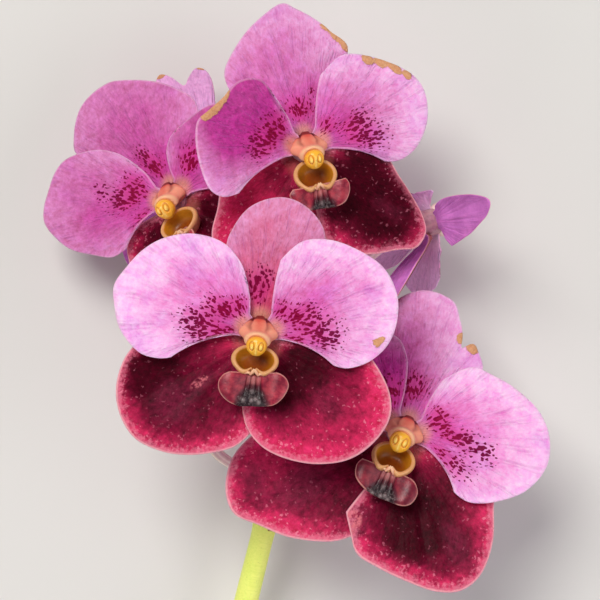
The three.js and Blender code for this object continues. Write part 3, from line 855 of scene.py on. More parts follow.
@dataclass(frozen=True)
class CrimsonFinish(Skin):
    """A lateral sepal: deep burgundy, flecked with crimson towards a pale pink rim, with painted shade,
    painted light and a plum painted sheen laid into its colour.
    """

    roughness: float = 0.42
    shine: float = 0.05
    sheen: float = 0.0
    depth: float = 0.42
    deep: str = "38000e"
    body: str = "760c2f"
    bright: str = "d22b5c"
    fleck: str = "ec829c"
    painted_sheen: str = "6e1c36"
    worn: str = "dc7480"
    rim: str = "f3acb4"
    claw: str = "b8705e"
    back: str = "e68ce0"
    back_vein: str = "b05ab0"

    def paint(self, g: Graph, effects: Effects) -> Paint:
        """What changes over the surface.

        Args:
            g: The material's graph.
            effects: The shared shader groups.

        Returns:
            The colour, the fine relief and the roughness.
        """
        t = Tissue(g, effects, 16.0)
        # First marks: deep burgundy and painted shade; second: brighter crimson and painted light; third: a
        # plum painted sheen, pale worn tissue where strongest.
        dark, lit, painted_sheen = t.marks
        stir = g.noise(t.place, 0.17, 4.0, 0.65)
        uneven = g.math("SUBTRACT", stir, 0.5)
        # Brighter crimson: a band along the margin, plus painted light from the second marks, dimmed by the
        # painted shade of the first.
        band = g.ease(g.grown(uneven, 9.0, t.margin), 7.5, 2.0)
        glow = g.plus(g.times(band, 0.75), g.grown(uneven, lit, lit), clamp=True)
        glow = g.times(glow, g.grown(dark, -0.7, 1.0))
        front = g.mix(glow, self.body, self.bright)
        # Deep burgundy from the first marks, partly painted shade.
        front = g.over(front, self.deep, g.ease(g.grown(uneven, 0.8, dark), 0.15, 0.9), 0.93)
        # The plum film in the middle is a painted velvety sheen.
        painted_sheen_mask = g.times(g.ease(g.grown(uneven, 0.6, painted_sheen), 0.05, 0.5), 0.72)
        front = t.toned(g.over(front, self.painted_sheen, painted_sheen_mask), 0.9, 0.8)
        frill = g.ease(g.grown(g.uneven(t.place, 0.8, 3.0, 0.65), 7.0, t.margin), 3.0, 0.4)
        front = g.over(front, self.fleck, frill, g.ease(dark, 1.0, 0.4), 0.62)
        dots = g.cells(g.stirred(t.place, 0.9, 2.0, (2.2, 2.2, 2.2)), 0.6)
        chosen = g.parts(dots.outputs["Color"])[0]
        size = g.grown(g.ease(t.margin, 12.0, 1.0), 0.12, g.grown(chosen, 0.32, -0.02))
        fleck = g.ease(g.math("SUBTRACT", size, dots.outputs["Distance"]), -0.02, 0.12)
        front = g.over(front, self.fleck, fleck, g.grown(glow, 0.55, 0.17))
        cracks = g.cells(t.place, 0.34, feature="DISTANCE_TO_EDGE").outputs["Distance"]
        front = g.over(front, self.deep, g.ease(cracks, 0.045, 0.0), painted_sheen_mask, g.ease(stir, 0.46, 0.6), 0.4)
        worn = g.ease(g.noise(t.place, 0.5, 4.0, 0.7), 0.4, 0.6)
        # Where the third marks are strongest they are pale worn tissue instead.
        front = g.over(front, self.worn, g.ease(painted_sheen, 0.66, 1.0), worn, 0.85)
        front = g.over(front, self.rim, t.rim(0.75, 0.3), 0.85)
        front = g.over(front, self.claw, g.ease(t.distance, 6.0, 2.0), 0.5)
        behind = g.over(self.back, self.back_vein, g.ease(stir, 0.35, 0.65), 0.4)
        behind = g.over(behind, self.back_vein, t.vein, 0.22)
        both = g.mix(g.ease(t.side, 0.45, 0.95), behind, front)
        lumps = g.noise(g.vector(g.times(t.turn, 90.0), g.times(t.margin, 0.3), t.seed), 1.0, 1.0)
        lumps = g.times(lumps, g.ease(t.margin, 5.0, 1.0))
        relief = g.grown(t.fibre, 0.35, g.times(g.noise(t.place, 0.55, 3.0), 0.6))
        relief = g.plus(relief, g.grown(lumps, 1.3, g.times(fleck, 0.1)))
        return both, relief, g.grown(stir, 0.2, self.roughness - 0.1)


@dataclass(frozen=True)
class CupFinish(Skin):
    """The lip's cup: a tan rolled rim and a golden-brown hollow, painted darker towards its floor as shade.
    """

    roughness: float = 0.36
    shine: float = 0.4
    depth: float = 0.12
    rim: str = "e0a870"
    wall: str = "c67f52"
    hollow: str = "d08c1e"
    floor: str = "863c04"
    flush: str = "b8605a"

    def paint(self, g: Graph, effects: Effects) -> Paint:
        """What changes over the surface.

        Args:
            g: The material's graph.
            effects: The shared shader groups.

        Returns:
            The colour, the fine relief and the roughness.
        """
        place = g.place()
        depth, inside, flush = g.layer("field")
        cloud = g.noise(place, 0.5, 3.0, 0.6)
        uneven = g.math("SUBTRACT", cloud, 0.5)
        outside = g.mix(g.grown(cloud, 0.5, g.times(depth, 0.5)), self.rim, self.wall)
        outside = g.over(outside, self.flush, flush, 0.6)
        # Darker towards the hollow's floor: painted shade.
        hollow = g.mix(g.grown(uneven, 0.5, depth), self.hollow, self.floor)
        cells = g.use(effects.grain_and_glints, Place=place, Scale=2.2).outputs["Cells"]
        relief = g.grown(cloud, 0.6, g.times(cells, 0.2))
        colour = g.mix(g.ease(inside, 0.25, 0.75), outside, hollow)
        return colour, relief, g.grown(cloud, 0.2, self.roughness - 0.1)


@dataclass(frozen=True)
class BladeFinish(Skin):
    """The lip's blade: dusky red lobes with a pale rim, dark grooves and a purple-black tip with whitish
    painted glints; a lip in shade gets painted shade over the whole blade.
    """

    roughness: float = 0.34
    shine: float = 0.35
    depth: float = 0.2
    body: str = "7e1530"
    flush: str = "aa3746"
    ridge: str = "d68f8a"
    groove: str = "43101f"
    tip: str = "1e0a13"
    painted_sheen: str = "b3a0a0"
    rim: str = "eda99c"
    back: str = "c98b72"

    def paint(self, g: Graph, effects: Effects) -> Paint:
        """What changes over the surface.

        Args:
            g: The material's graph.
            effects: The shared shader groups.

        Returns:
            The colour, the fine relief and the roughness.
        """
        t = Tissue(g, effects, 15.0)
        tip, ridge, groove = t.marks
        front = g.mix(g.ease(g.noise(t.place, 0.35, 3.0, 0.6), 0.36, 0.66), self.body, self.flush)
        front = g.over(t.toned(front, 0.4, 0.7), self.groove, t.vein, 0.12)
        front = g.over(front, self.groove, groove, 0.8)
        front = g.over(front, self.ridge, ridge, 0.45)
        front = g.over(front, self.groove, g.ease(tip, 0.02, 0.5), 0.9)
        front = g.over(front, self.tip, g.ease(tip, 0.45, 0.95), 0.95)
        # Whitish painted glints: scattered in the tip, and on the ridges and lumps within it.
        painted_glints = g.times(g.ease(tip, 0.4, 0.8), g.ease(g.noise(t.place, 1.1, 3.0, 0.7), 0.5, 0.66))
        front = g.over(front, self.painted_sheen, painted_glints, 0.35)
        front = g.over(front, self.painted_sheen, g.ease(tip, 0.6, 0.9), ridge, 0.7)
        front = g.over(front, self.rim, t.rim(0.4, 0.1), g.ease(tip, 0.7, 0.2), 0.55)
        relief = g.grown(t.fibre, 0.5, g.times(painted_glints, 0.8))
        return g.mix(t.side, self.back, front), relief, g.grown(t.fibre, 0.2, self.roughness - 0.1)


@dataclass(frozen=True)
class FleshFinish(Skin):
    """Column, cap, callus and pedicel: two colours that run together, with dark lines and pale rims; the
    column's dark lines at its foot and grooves are painted shade, and the cap's pale marks are painted
    highlights.
    """

    base: str = "f4a486"
    second: str = "e25c4c"
    line: str = "6d1a1c"
    pale: str = "f3cf9c"

    def paint(self, g: Graph, effects: Effects) -> Paint:
        """What changes over the surface.

        Args:
            g: The material's graph.
            effects: The shared shader groups.

        Returns:
            The colour, the fine relief and the roughness.
        """
        place = g.place()
        second, line, pale = g.layer("field")
        cloud = g.noise(place, 0.45, 3.0, 0.6)
        share = g.plus(second, g.times(g.math("SUBTRACT", cloud, 0.5), 0.5), clamp=True)
        colour = g.mix(pale, g.mix(line, g.mix(share, self.base, self.second), self.line), self.pale)
        cells = g.use(effects.grain_and_glints, Place=place, Scale=2.4).outputs["Cells"]
        return colour, g.grown(cloud, 0.6, g.times(cells, 0.25)), g.grown(cloud, 0.2, self.roughness - 0.1)


@dataclass(frozen=True)
class StemFinish(Skin):
    """The stem: yellow-green with fine long streaks, brown at the bracts' rims and pale where it was cut."""

    roughness: float = 0.4
    depth: float = 0.22
    light: str = "faff8a"
    deep: str = "c6de4c"
    fleck: str = "6d7f2a"
    bract: str = "b89a4e"
    bract_rim: str = "8a6230"
    cut: str = "dfe3b0"
    cut_pores: str = "9aa85c"

    def paint(self, g: Graph, effects: Effects) -> Paint:
        """What changes over the surface.

        Args:
            g: The material's graph.
            effects: The shared shader groups; not used here.

        Returns:
            The colour, the fine relief and the roughness.
        """
        place = g.place()
        around, along, end = g.layer("fan")
        bract, rim, _ = g.layer("field")
        streak = g.noise(g.vector(g.times(around, 9.0), g.times(along, 14.0), 0.0), 1.0, 4.0, 0.65)
        cloud = g.math("SUBTRACT", g.noise(place, 0.06, 3.0, 0.6), 0.6)
        colour = g.mix(g.grown(streak, 0.9, g.times(cloud, 0.9), clamp=True), self.light, self.deep)
        colour = g.over(colour, self.fleck, g.ease(g.noise(place, 0.8, 3.0, 0.7), 0.62, 0.72), 0.25)
        colour = g.over(colour, self.bract, bract, 0.75)
        colour = g.over(colour, self.bract_rim, rim, 0.8)
        pith = g.ease(g.cells(place, 1.5).outputs["Distance"], 0.15, 0.3)
        colour = g.mix(end, colour, g.mix(pith, self.cut_pores, self.cut))
        relief = g.grown(streak, 0.8, g.times(g.noise(place, 1.6), 0.4))
        return colour, relief, g.grown(streak, 0.25, self.roughness - 0.1)


class Materials:
    """Every material of the spray."""

    def __init__(self) -> None:
        """Builds the shared groups and then the materials."""
        made = Effects()
        self.petal = PinkFinish().material("petal_skin", made)
        dorsal = PinkFinish(
            inner="da4c78", outer="e08cb8", lilac="cc88b8", lilac_share=0.2, vein="a4489a", rows=12.0
        )
        self.dorsal = dorsal.material("dorsal_skin", made)
        self.sepal = CrimsonFinish().material("lateral_skin", made)
        self.cup = CupFinish().material("cup_flesh", made)
        self.blade = BladeFinish().material("blade_flesh", made)
        self.callus = FleshFinish(base="f4bf98", second="cf7f70").material("callus_flesh", made)
        self.column = FleshFinish().material("column_flesh", made)
        cap = FleshFinish(
            base="fcbe38", second="ec7f1c", line="a4500e", pale="fee27c", roughness=0.3, shine=0.5
        )
        self.cap = cap.material("cap_wax", made)
        pedicel = FleshFinish(base="ffeadb", second="96386a", line="dca09c", depth=0.2)
        self.pedicel = pedicel.material("pedicel_skin", made)
        self.stem = StemFinish().material("stem_skin", made)


# ------------------------------------------------------------------------------------------ tepals


class Part(Enum):
    """The tepals of a bloom, by the node that each one stands for."""

    DORSAL = "dorsal_sepal"
    RIGHT_PETAL = "right_petal"
    LEFT_PETAL = "left_petal"
    RIGHT_SEPAL = "right_sepal"
    LEFT_SEPAL = "left_sepal"

    @property
    def on_left(self) -> bool:
        """Whether the tepal is drawn on the right and then mirrored."""
        return self.value.startswith("left")

    @property
    def slot(self) -> str:
        """The record's material slot."""
        return "sepal_crimson" if self in (Part.RIGHT_SEPAL, Part.LEFT_SEPAL) else "petal_pink"


@dataclass(frozen=True)
class Patch:
    """A soft patch on a tepal, by its direction (degrees) and distance (mm) from the claw."""

    angle: float
    distance: float
    spread: float
    reach: float
    strength: float = 1.0

    def over(self, angle: Grid, distance: Grid) -> Grid:
        """How strong the patch is at each point."""
        off = ((angle - self.angle) / self.spread) ** 2 + ((distance - self.distance) / self.reach) ** 2
        return self.strength * np.exp(-off)


@dataclass(frozen=True)
class Tepal:
    """One sepal or petal: how its margin reaches round its claw, how it lies, and its marks.

    Angles are in degrees from the bloom's right and lengths in millimetres. The three sets of
    marks mean spots, a deeper magenta flush that is partly painted shade, and dry tissue on a
    pink tepal; on a crimson one they mean deep burgundy that is partly painted shade, brighter
    crimson that is partly painted light, and a plum painted sheen that is pale worn tissue where
    it is strongest.
    """

    claw_angle: float
    claw_width: float
    axis: float
    reach: Pairs
    layer: float
    tilt: float
    curl: float = 0.0
    cup: float = 0.0
    bows: tuple[float, float] = (0.0, 0.0)
    crease: float = 0.45
    folds: float = 0.5
    turn_back: float = 0.7
    nicks: Pairs = ()
    first: tuple[Patch, ...] = ()
    second: tuple[Patch, ...] = ()
    third: tuple[Patch, ...] = ()
    steps: tuple[int, int] = (46, 72)
    lifts_dry: bool = True

    CLAW_START = 5.15
    CLAW_INSIDE = 1.3
    HALF_THICK = 0.42
    DRY_LIFT = 0.9
    NICK_WIDTH = 3.0
    WAVES = ((1.7, 0.5), (3.1, 0.42), (5.3, 0.26), (8.9, 0.12))  # how many round the margin, and how high
    FOLDS = (9, 14)  # how many round the margin, between it and the claw

    def cut(self, seed: int) -> Cut:
        """Builds the tepal's mesh.

        Args:
            seed: Sets the folds and the pattern of this one tepal.

        Returns:
            The mesh, in the bloom's frame, on its right side.
        """
        rows, columns = self.steps
        out = np.linspace(0.0, 1.0, rows + 1)[:, None] ** 0.92
        turn = np.linspace(0.0, 1.0, columns + 1)
        claw = polar(self.claw_angle, self.CLAW_START)
        margin = spline_at_length(polar(*np.array(self.reach).T), turn)
        angles, bite = heading(margin, self.axis), np.zeros(columns + 1)
        for at, depth in self.nicks:
            bite += depth * bell(angles - at, self.NICK_WIDTH)
        margin = margin * (1 - bite / np.linalg.norm(margin, axis=1))[:, None] + claw
        square = np.array([-claw[1], claw[0]]) / self.CLAW_START
        inner = claw + square * self.claw_width * (turn - 0.5)[:, None]
        ray = margin - inner
        left = np.stack([-ray[:, 1], ray[:, 0]], axis=1) / np.linalg.norm(ray, axis=1, keepdims=True)
        edge = 2 * turn - 1
        bow = np.where(edge < 0, -self.bows[0], self.bows[1]) * np.abs(edge) ** 3
        flat = inner + ray * out[..., None] + left * (bow * 4 * out * (1 - out))[..., None]
        flat = flat - claw / self.CLAW_START * (self.CLAW_INSIDE * (1 - eased(out, 0.0, 0.12)))[..., None]
        from_claw = flat - claw
        distance = np.linalg.norm(from_claw, axis=-1)
        across = from_claw @ polar(self.axis + 90, 1.0)
        height = self.layer + distance * math.tan(math.radians(self.tilt))
        height = height + self.curl * (distance / 40) ** 2 + self.cup * (across / 20) ** 2
        near = rim_distance(flat)
        height = height + self._relief(seed, turn, out, across, near)
        angles = heading(from_claw, self.axis)
        half = self.HALF_THICK * (0.62 + 0.38 * eased(near, 0.0, 5.0))
        groups = (self.first, self.second, self.third)
        marks = [sum((p.over(angles, distance) for p in group), np.zeros_like(distance)) for group in groups]
        layers = tissue_layers(turn, out, distance, near, seed, marks)
        if self.lifts_dry:
            height = height + self.DRY_LIFT * layers["field"][..., 2]
        return sheet(np.concatenate([flat, height[..., None]], -1), half, layers)

    def _relief(self, seed: int, turn: Grid, out: Grid, across: Grid, near: Grid) -> Grid:
        """The soft waves, the furrow along the middle and the turned margin.

        Args:
            seed: Sets the waves.
            turn: The share of the way round the margin, a column each.
            out: The share of the way to the margin, a row each.
            across: The distance from the middle line.
            near: The distance from the margin.

        Returns:
            What to add to the height.
        """
        draw = np.random.default_rng(seed)
        wave = np.zeros_like(near)
        for times, amount in self.WAVES:
            phase = draw.uniform(0, 2 * math.pi)
            wave += amount * draw.uniform(0.7, 1.2) * np.sin(2 * math.pi * times * turn[None] + phase)
        wave = self.folds * wave * out**1.8
        for times in self.FOLDS:
            phase = draw.uniform(0, 2 * math.pi)
            wave += self.folds * 0.14 * np.sin(2 * math.pi * times * turn[None] + phase) * 4 * out * (1 - out)
        furrow = self.crease * bell(across, 1.1) * eased(out, 0.04, 0.2) * (1 - 0.75 * eased(out, 0.45, 1.0))
        return wave - furrow - self.turn_back * np.exp(-near / 1.4) * eased(out, 0.25, 0.6)


DORSAL = Tepal(
    claw_angle=90, claw_width=5.6, axis=90, bows=(0.5, 0.5), layer=-1.6, tilt=-1, curl=-2, cup=-0.6,
    folds=0.4,
    reach=((50, 25), (58, 33.2), (68, 37.3), (80, 39.6), (91, 39), (104, 35.4), (118, 28.4), (127, 22.5)),
    first=(Patch(102, 9.5, 26, 5.5), Patch(92, 14, 14, 4, 0.5)),
)
PETAL = Tepal(
    claw_angle=22, claw_width=6, axis=27, bows=(-1.8, 0.7), layer=0.7, tilt=9, curl=-2, cup=0.4,
    reach=(
        (-24, 22.4), (-20, 27.2), (-11, 32.5), (0, 37), (12, 39.7), (24, 41), (37, 40.2), (51, 36.9),
        (65, 33.8), (79, 29.6), (91, 22.5),
    ),
    first=(
        Patch(75, 6.5, 26, 3.6, 0.9), Patch(35, 10, 18, 6), Patch(10, 14, 14, 7.5),
        Patch(-6, 18, 10, 5, 0.85), Patch(-24, 8, 18, 5),
    ),
    second=(Patch(20, 6, 70, 7, 0.35),),
)
LATERAL = Tepal(
    lifts_dry=False, claw_angle=-48, claw_width=6, axis=-48, bows=(0.6, 0.6), layer=-0.6, tilt=1, curl=0.5,
    cup=1.0, folds=0.35, turn_back=0.5,
    reach=(
        (-106, 21), (-97, 27.1), (-86, 32.3), (-74, 36.4), (-61, 40.8), (-48, 44.6), (-36, 46),
        (-24, 45.6), (-14, 42), (-2, 35), (10, 28), (20, 20),
    ),
    # Deep burgundy and painted shade near the claw.
    first=(Patch(-40, 8, 70, 11, 0.8),),
    third=(Patch(-42, 26, 22, 10, 0.45),),
)
USUAL = {
    Part.DORSAL: DORSAL,
    Part.RIGHT_PETAL: PETAL,
    Part.LEFT_PETAL: PETAL,
    Part.RIGHT_SEPAL: LATERAL,
    Part.LEFT_SEPAL: replace(LATERAL, layer=-2.4),
}


# ----------------------------------------------------------------------------------- lip and column


@dataclass(frozen=True)
class Lip:
    """The lip: a cup with a thick rolled rim, cleft below, a forked callus and a two-lobed blade."""

    blade_reach: Pairs = (
        (-178, 7.5), (-171, 9.7), (-160, 11.5), (-146, 12.2), (-130, 12), (-110, 11.3), (-90, 10.3),
        (-70, 10.6), (-50, 11.6), (-32, 11.8), (-14, 11.6), (-3, 10.4), (5, 8.5), (9, 6.8),
    )
    blade_claw: tuple[float, float] = (0.3, -12.8)
    hub: float = 0.8
    middle: float = 0.0
    cup_y: float = -11.1
    cup_z: float = 1.5
    cup_tilt: float = -30.0
    squash: float = 0.72
    narrow: float = 1.0
    notch: float = 1.9
    # Painted shade over the whole blade, for a lip that sits in shade.
    painted_shade: float = 0.0

    PROFILE = (
        (0.02, 0.0), (2.8, 0.1), (5.0, 0.7), (6.5, 2.2), (7.25, 3.9), (7.65, 4.9), (7.6, 5.7), (7.1, 6.15),
        (6.45, 6.05), (6.05, 5.5), (5.85, 4.5), (5.3, 3.0), (3.7, 1.7), (0.02, 1.35),
    )
    RIM_SHARE = 0.56
    BLADE_LEVEL = 6.6
    BLADE_TILT = 12.0
    KEELS = ((0.0, 0.5, 1.0, 7.0), (-1.7, 0.4, 0.6, 5.0), (1.9, 0.42, 0.8, 4.0))  # place, width, height, end
    GROOVES = ((-0.9, 0.4), (1.05, 0.5), (-2.5, 0.4), (2.9, 0.4))  # place, width
    LUMPS = ((-3.7, 8.1), (-2.5, 8.7), (0.2, 8.5), (1.4, 8.0), (2.6, 8.9))  # place across and down

    def cup(self) -> Cut:
        """The cup, as one closed body.

        Returns:
            The mesh.
        """
        radius, level, turns, share = lathed(self.PROFILE, 52, 96)
        x, y = radius * np.cos(turns), radius * np.sin(turns)
        low = np.maximum(0.0, -y) / 7
        high = eased(level, 1.5, 5.5)
        rolled = bell(x, 1.9) * low
        cleft = bell(x, 0.45) * low * high
        scallop = bell(np.abs(x) - 3.9, 1.7) * low * high
        y = y * self.squash + self.notch * rolled * (0.45 + 0.55 * high) - 1.2 * cleft - 0.45 * scallop
        level = level + 0.25 * rolled * high - 1.5 * cleft
        lean = math.radians(self.cup_tilt)
        y, level = y * math.cos(lean) - level * math.sin(lean), y * math.sin(lean) + level * math.cos(lean)
        points = np.stack([x * self.narrow + self.middle, y + self.cup_y, level + self.cup_z], -1)
        inside = eased(share, self.RIM_SHARE + 0.03, self.RIM_SHARE + 0.16)
        # depth grows inside towards the hollow's floor, where it paints shade, and outside away from the rim.
        depth = np.where(share > self.RIM_SHARE, eased(share, 0.74, 0.97), 1 - eased(share, 0.1, 0.45))
        flush = np.where(share > self.RIM_SHARE, 0.0, eased(share, 0.42, 0.2) * 0.7)
        return ringed(points, {"field": np.stack([depth, inside, flush], -1)})

    def callus(self) -> Cut:
        """Two short legs that part from the cup's cleft and straddle the blade's middle keel.

        Returns:
            The mesh.
        """
        made = []
        for side in (-1, 1):
            leg = (
                (0.3, -0.3, 9.0, 0.5), (0.35 + 0.62 * side, -1.2, 8.95, 0.52),
                (0.4 + 1.3 * side, -2.1, 8.3, 0.42),
            )
            fold = (
                (0.4 + 1.5 * side, -1.6, 8.5, 0.45), (0.4 + 2.3 * side, -1.5, 8.6, 0.42),
                (0.4 + 3.1 * side, -1.9, 8.1, 0.34),
            )
            for spine in (leg, fold):
                stations = np.array(spine) + (self.middle, self.cup_y, 0.0, 0.0)
                rings, along, _ = swept(stations, 18, 20)
                field = [0.25 + 0.5 * along, np.zeros_like(along), 0.4 * (1 - along)]
                made.append(ringed(rings, {"field": np.stack(field, -1)}))
        return together(*made)

    def blade(self, seed: int) -> Cut:
        """The blade, which fans out from a small hub under the cup's notch.

        Args:
            seed: Sets its pattern.

        Returns:
            The mesh.
        """
        out = np.linspace(0.0, 1.0, 41)[:, None]
        turn = np.linspace(0.0, 1.0, 121)
        claw = np.array(self.blade_claw)
        margin = spline_at_length(polar(*np.array(self.blade_reach).T), turn)
        start = margin / np.linalg.norm(margin, axis=1, keepdims=True) * self.hub
        flat = claw + start + (margin - start) * out[..., None]
        away = flat - claw
        distance, near = np.linalg.norm(away, axis=-1), rim_distance(flat)
        down, off = -away[..., 1], away[..., 0]
        height = self.BLADE_LEVEL + distance * math.tan(math.radians(self.BLADE_TILT))
        height = height - 12 * (distance / 40) ** 2 + 1.6 * (off / 20) ** 2
        ridge, groove, lumps = np.zeros_like(height), np.zeros_like(height), np.zeros_like(height)
        spread = 0.8 + down / 30
        for at, wide, tall, end in self.KEELS:
            rise = eased(down, 0.2, 1.3) * eased(down, end, end - 2.5)
            ridge += tall * bell(off - at * spread, wide) * rise
        for at, wide in self.GROOVES:
            groove += bell(off - at * spread, wide) * (eased(down, 0.2, 1.6) * eased(down, 9.0, 6.0))
        for at, below in self.LUMPS:
            lumps += np.exp(-(((off - at) / 0.5) ** 2) - ((down - below) / 0.55) ** 2)
        valley = -0.9 * bell(off, 3.6) * eased(down, 0.0, 4.0)
        lobes = 1.1 * bell(np.abs(off) - 7.0, 3.4) - 0.8 * eased(down, 8.0, 12.0)
        height = height + 0.8 * ridge - 0.4 * groove + valley + lobes + 0.75 * lumps
        height = height - 0.5 * np.exp(-near / 0.8)
        half = 0.36 + 0.25 * eased(distance, 6.0, 1.0)
        tip = eased(down, 1.2, 7.2) * eased(np.abs(off - 0.4) / (1.0 + 0.42 * down), 1.5, 0.6)
        # The third mark is the grooves plus the lip's painted shade.
        marks = [tip, ridge + 0.7 * lumps, groove + self.painted_shade]
        layers = tissue_layers(turn, out, distance, near, seed, marks)
        return sheet(np.concatenate([flat, height[..., None]], -1), half, layers)


@dataclass(frozen=True)
class Column:
    """The short column, leaning down over the cup, and the anther cap at its end."""

    lean: float = 36.0
    length: float = 6.6
    seat: float = 1.1
    base_level: float = 1.8
    shoulders: float = 0.8
    gap: float = 0.3

    SHAFT = (
        (0.02, -3.6), (3.3, -3.4), (3.7, -1.5), (3.7, 0.5), (3.5, 2.4), (3.25, 4.2), (3.5, 5.4), (3.65, 6.4),
        (3.2, 6.9), (2.4, 6.8), (0.02, 6.7),
    )
    CAP = (
        (0.02, -0.15), (2.3, -0.1), (3.0, 0.35), (3.35, 1.1), (3.2, 2.2), (2.6, 3.1), (1.4, 3.7),
        (0.02, 3.85),
    )
    EYE = 1.48  # from the cap's middle line to the middle of each swelling

    def _stand(self, x: Grid, y: Grid, z: Grid) -> Grid:
        """Leans points about the column's axis and stands them on the head.

        Args:
            x: To the right.
            y: Up, towards the dorsal sepal.
            z: Along the column.

        Returns:
            One point a row, in the bloom's frame.
        """
        lean = math.radians(self.lean)
        level = y * math.sin(lean) + z * math.cos(lean)
        return np.stack([x, y * math.cos(lean) - z * math.sin(lean) + self.seat, level + self.base_level], -1)

    def shaft(self) -> Cut:
        """The column, with its shoulders, its two side grooves, its collar and the hollow over the lip, and
        dark lines of painted shade at its foot and in its grooves.

        Returns:
            The mesh.
        """
        radius, level, turns, _ = lathed(self.SHAFT, 60, 96)
        upper = np.sin(turns) > 0
        sides = bell(np.cos(turns) - 0.52, 0.12) + bell(np.cos(turns) + 0.52, 0.12)
        groove = 0.14 * sides * upper * eased(level, 5.2, 2.5)
        below = 0.4 * eased(-np.sin(turns), 0.2, 0.9) * eased(level, 0.5, 4.5)
        reach = radius * (1 - groove - below)
        wide = 1 + self.shoulders * np.maximum(0.0, 1 - np.abs(level - 2) / 5)
        x, y = reach * np.cos(turns) * wide, reach * np.sin(turns)
        keel = bell(x, 1.9) * upper
        flush = 0.15 + 0.55 * keel * eased(level, 6.5, 3.0) + 0.4 * eased(level, 1.5, -1.0)
        # A dark line round the foot, where the column meets the tepals, and dark lines in the side grooves:
        # painted shade.
        crease = eased(level, -0.5, -1.4) * (np.sin(turns) > -0.3) * 0.85
        collar = eased(level, 5.0, 6.2) * 0.5
        line = np.clip(crease + groove * 3.6, 0, 1)
        return ringed(self._stand(x, y, level), {"field": np.stack([flush, line, collar], -1)})

    def cap(self) -> Cut:
        """The anther cap: two round swellings in ringed hollows, a raised ridge and a blunt beak, with
        painted highlights on the swellings and the ridge.

        Returns:
            The mesh.
        """
        radius, level, turns, _ = lathed(self.CAP, 80, 128)
        x, y = radius * np.cos(turns), radius * np.sin(turns)
        front = eased(level, 0.9, 2.2)
        eyes, rings = np.zeros_like(x), np.zeros_like(x)
        for at in (-self.EYE, self.EYE):
            off = np.hypot((x - at) / 0.85, (y - 0.9) / 1.5)
            eyes += bell(off, 0.62, 4)
            rings += bell(off - 0.92, 0.17)
        nose = bell(x, 0.42) * eased(np.abs(y), 2.6, 1.6)
        bump = (0.35 * eyes - 0.4 * rings + 0.35 * nose) * front
        beak = 0.3 * bell(x, 1.7, 4) * eased(y, -0.9, -2.4) * eased(level, 0.2, 1.6)
        level_out = level + self.length + self.gap + bump
        y = y - beak
        tone = np.clip(0.12 + 0.75 * eased(level, 2.4, 0.3) + 0.3 * rings * front, 0, 1)
        line = np.clip(rings * 0.45 * front, 0, 0.8)
        # Pale painted highlights on the swellings and the ridge.
        shine = np.clip((0.7 * eyes + 0.6 * nose) * front, 0, 1)
        return ringed(self._stand(x, y, level_out), {"field": np.stack([tone, line, shine], -1)})


# ------------------------------------------------------------------------------------ stem and stalks


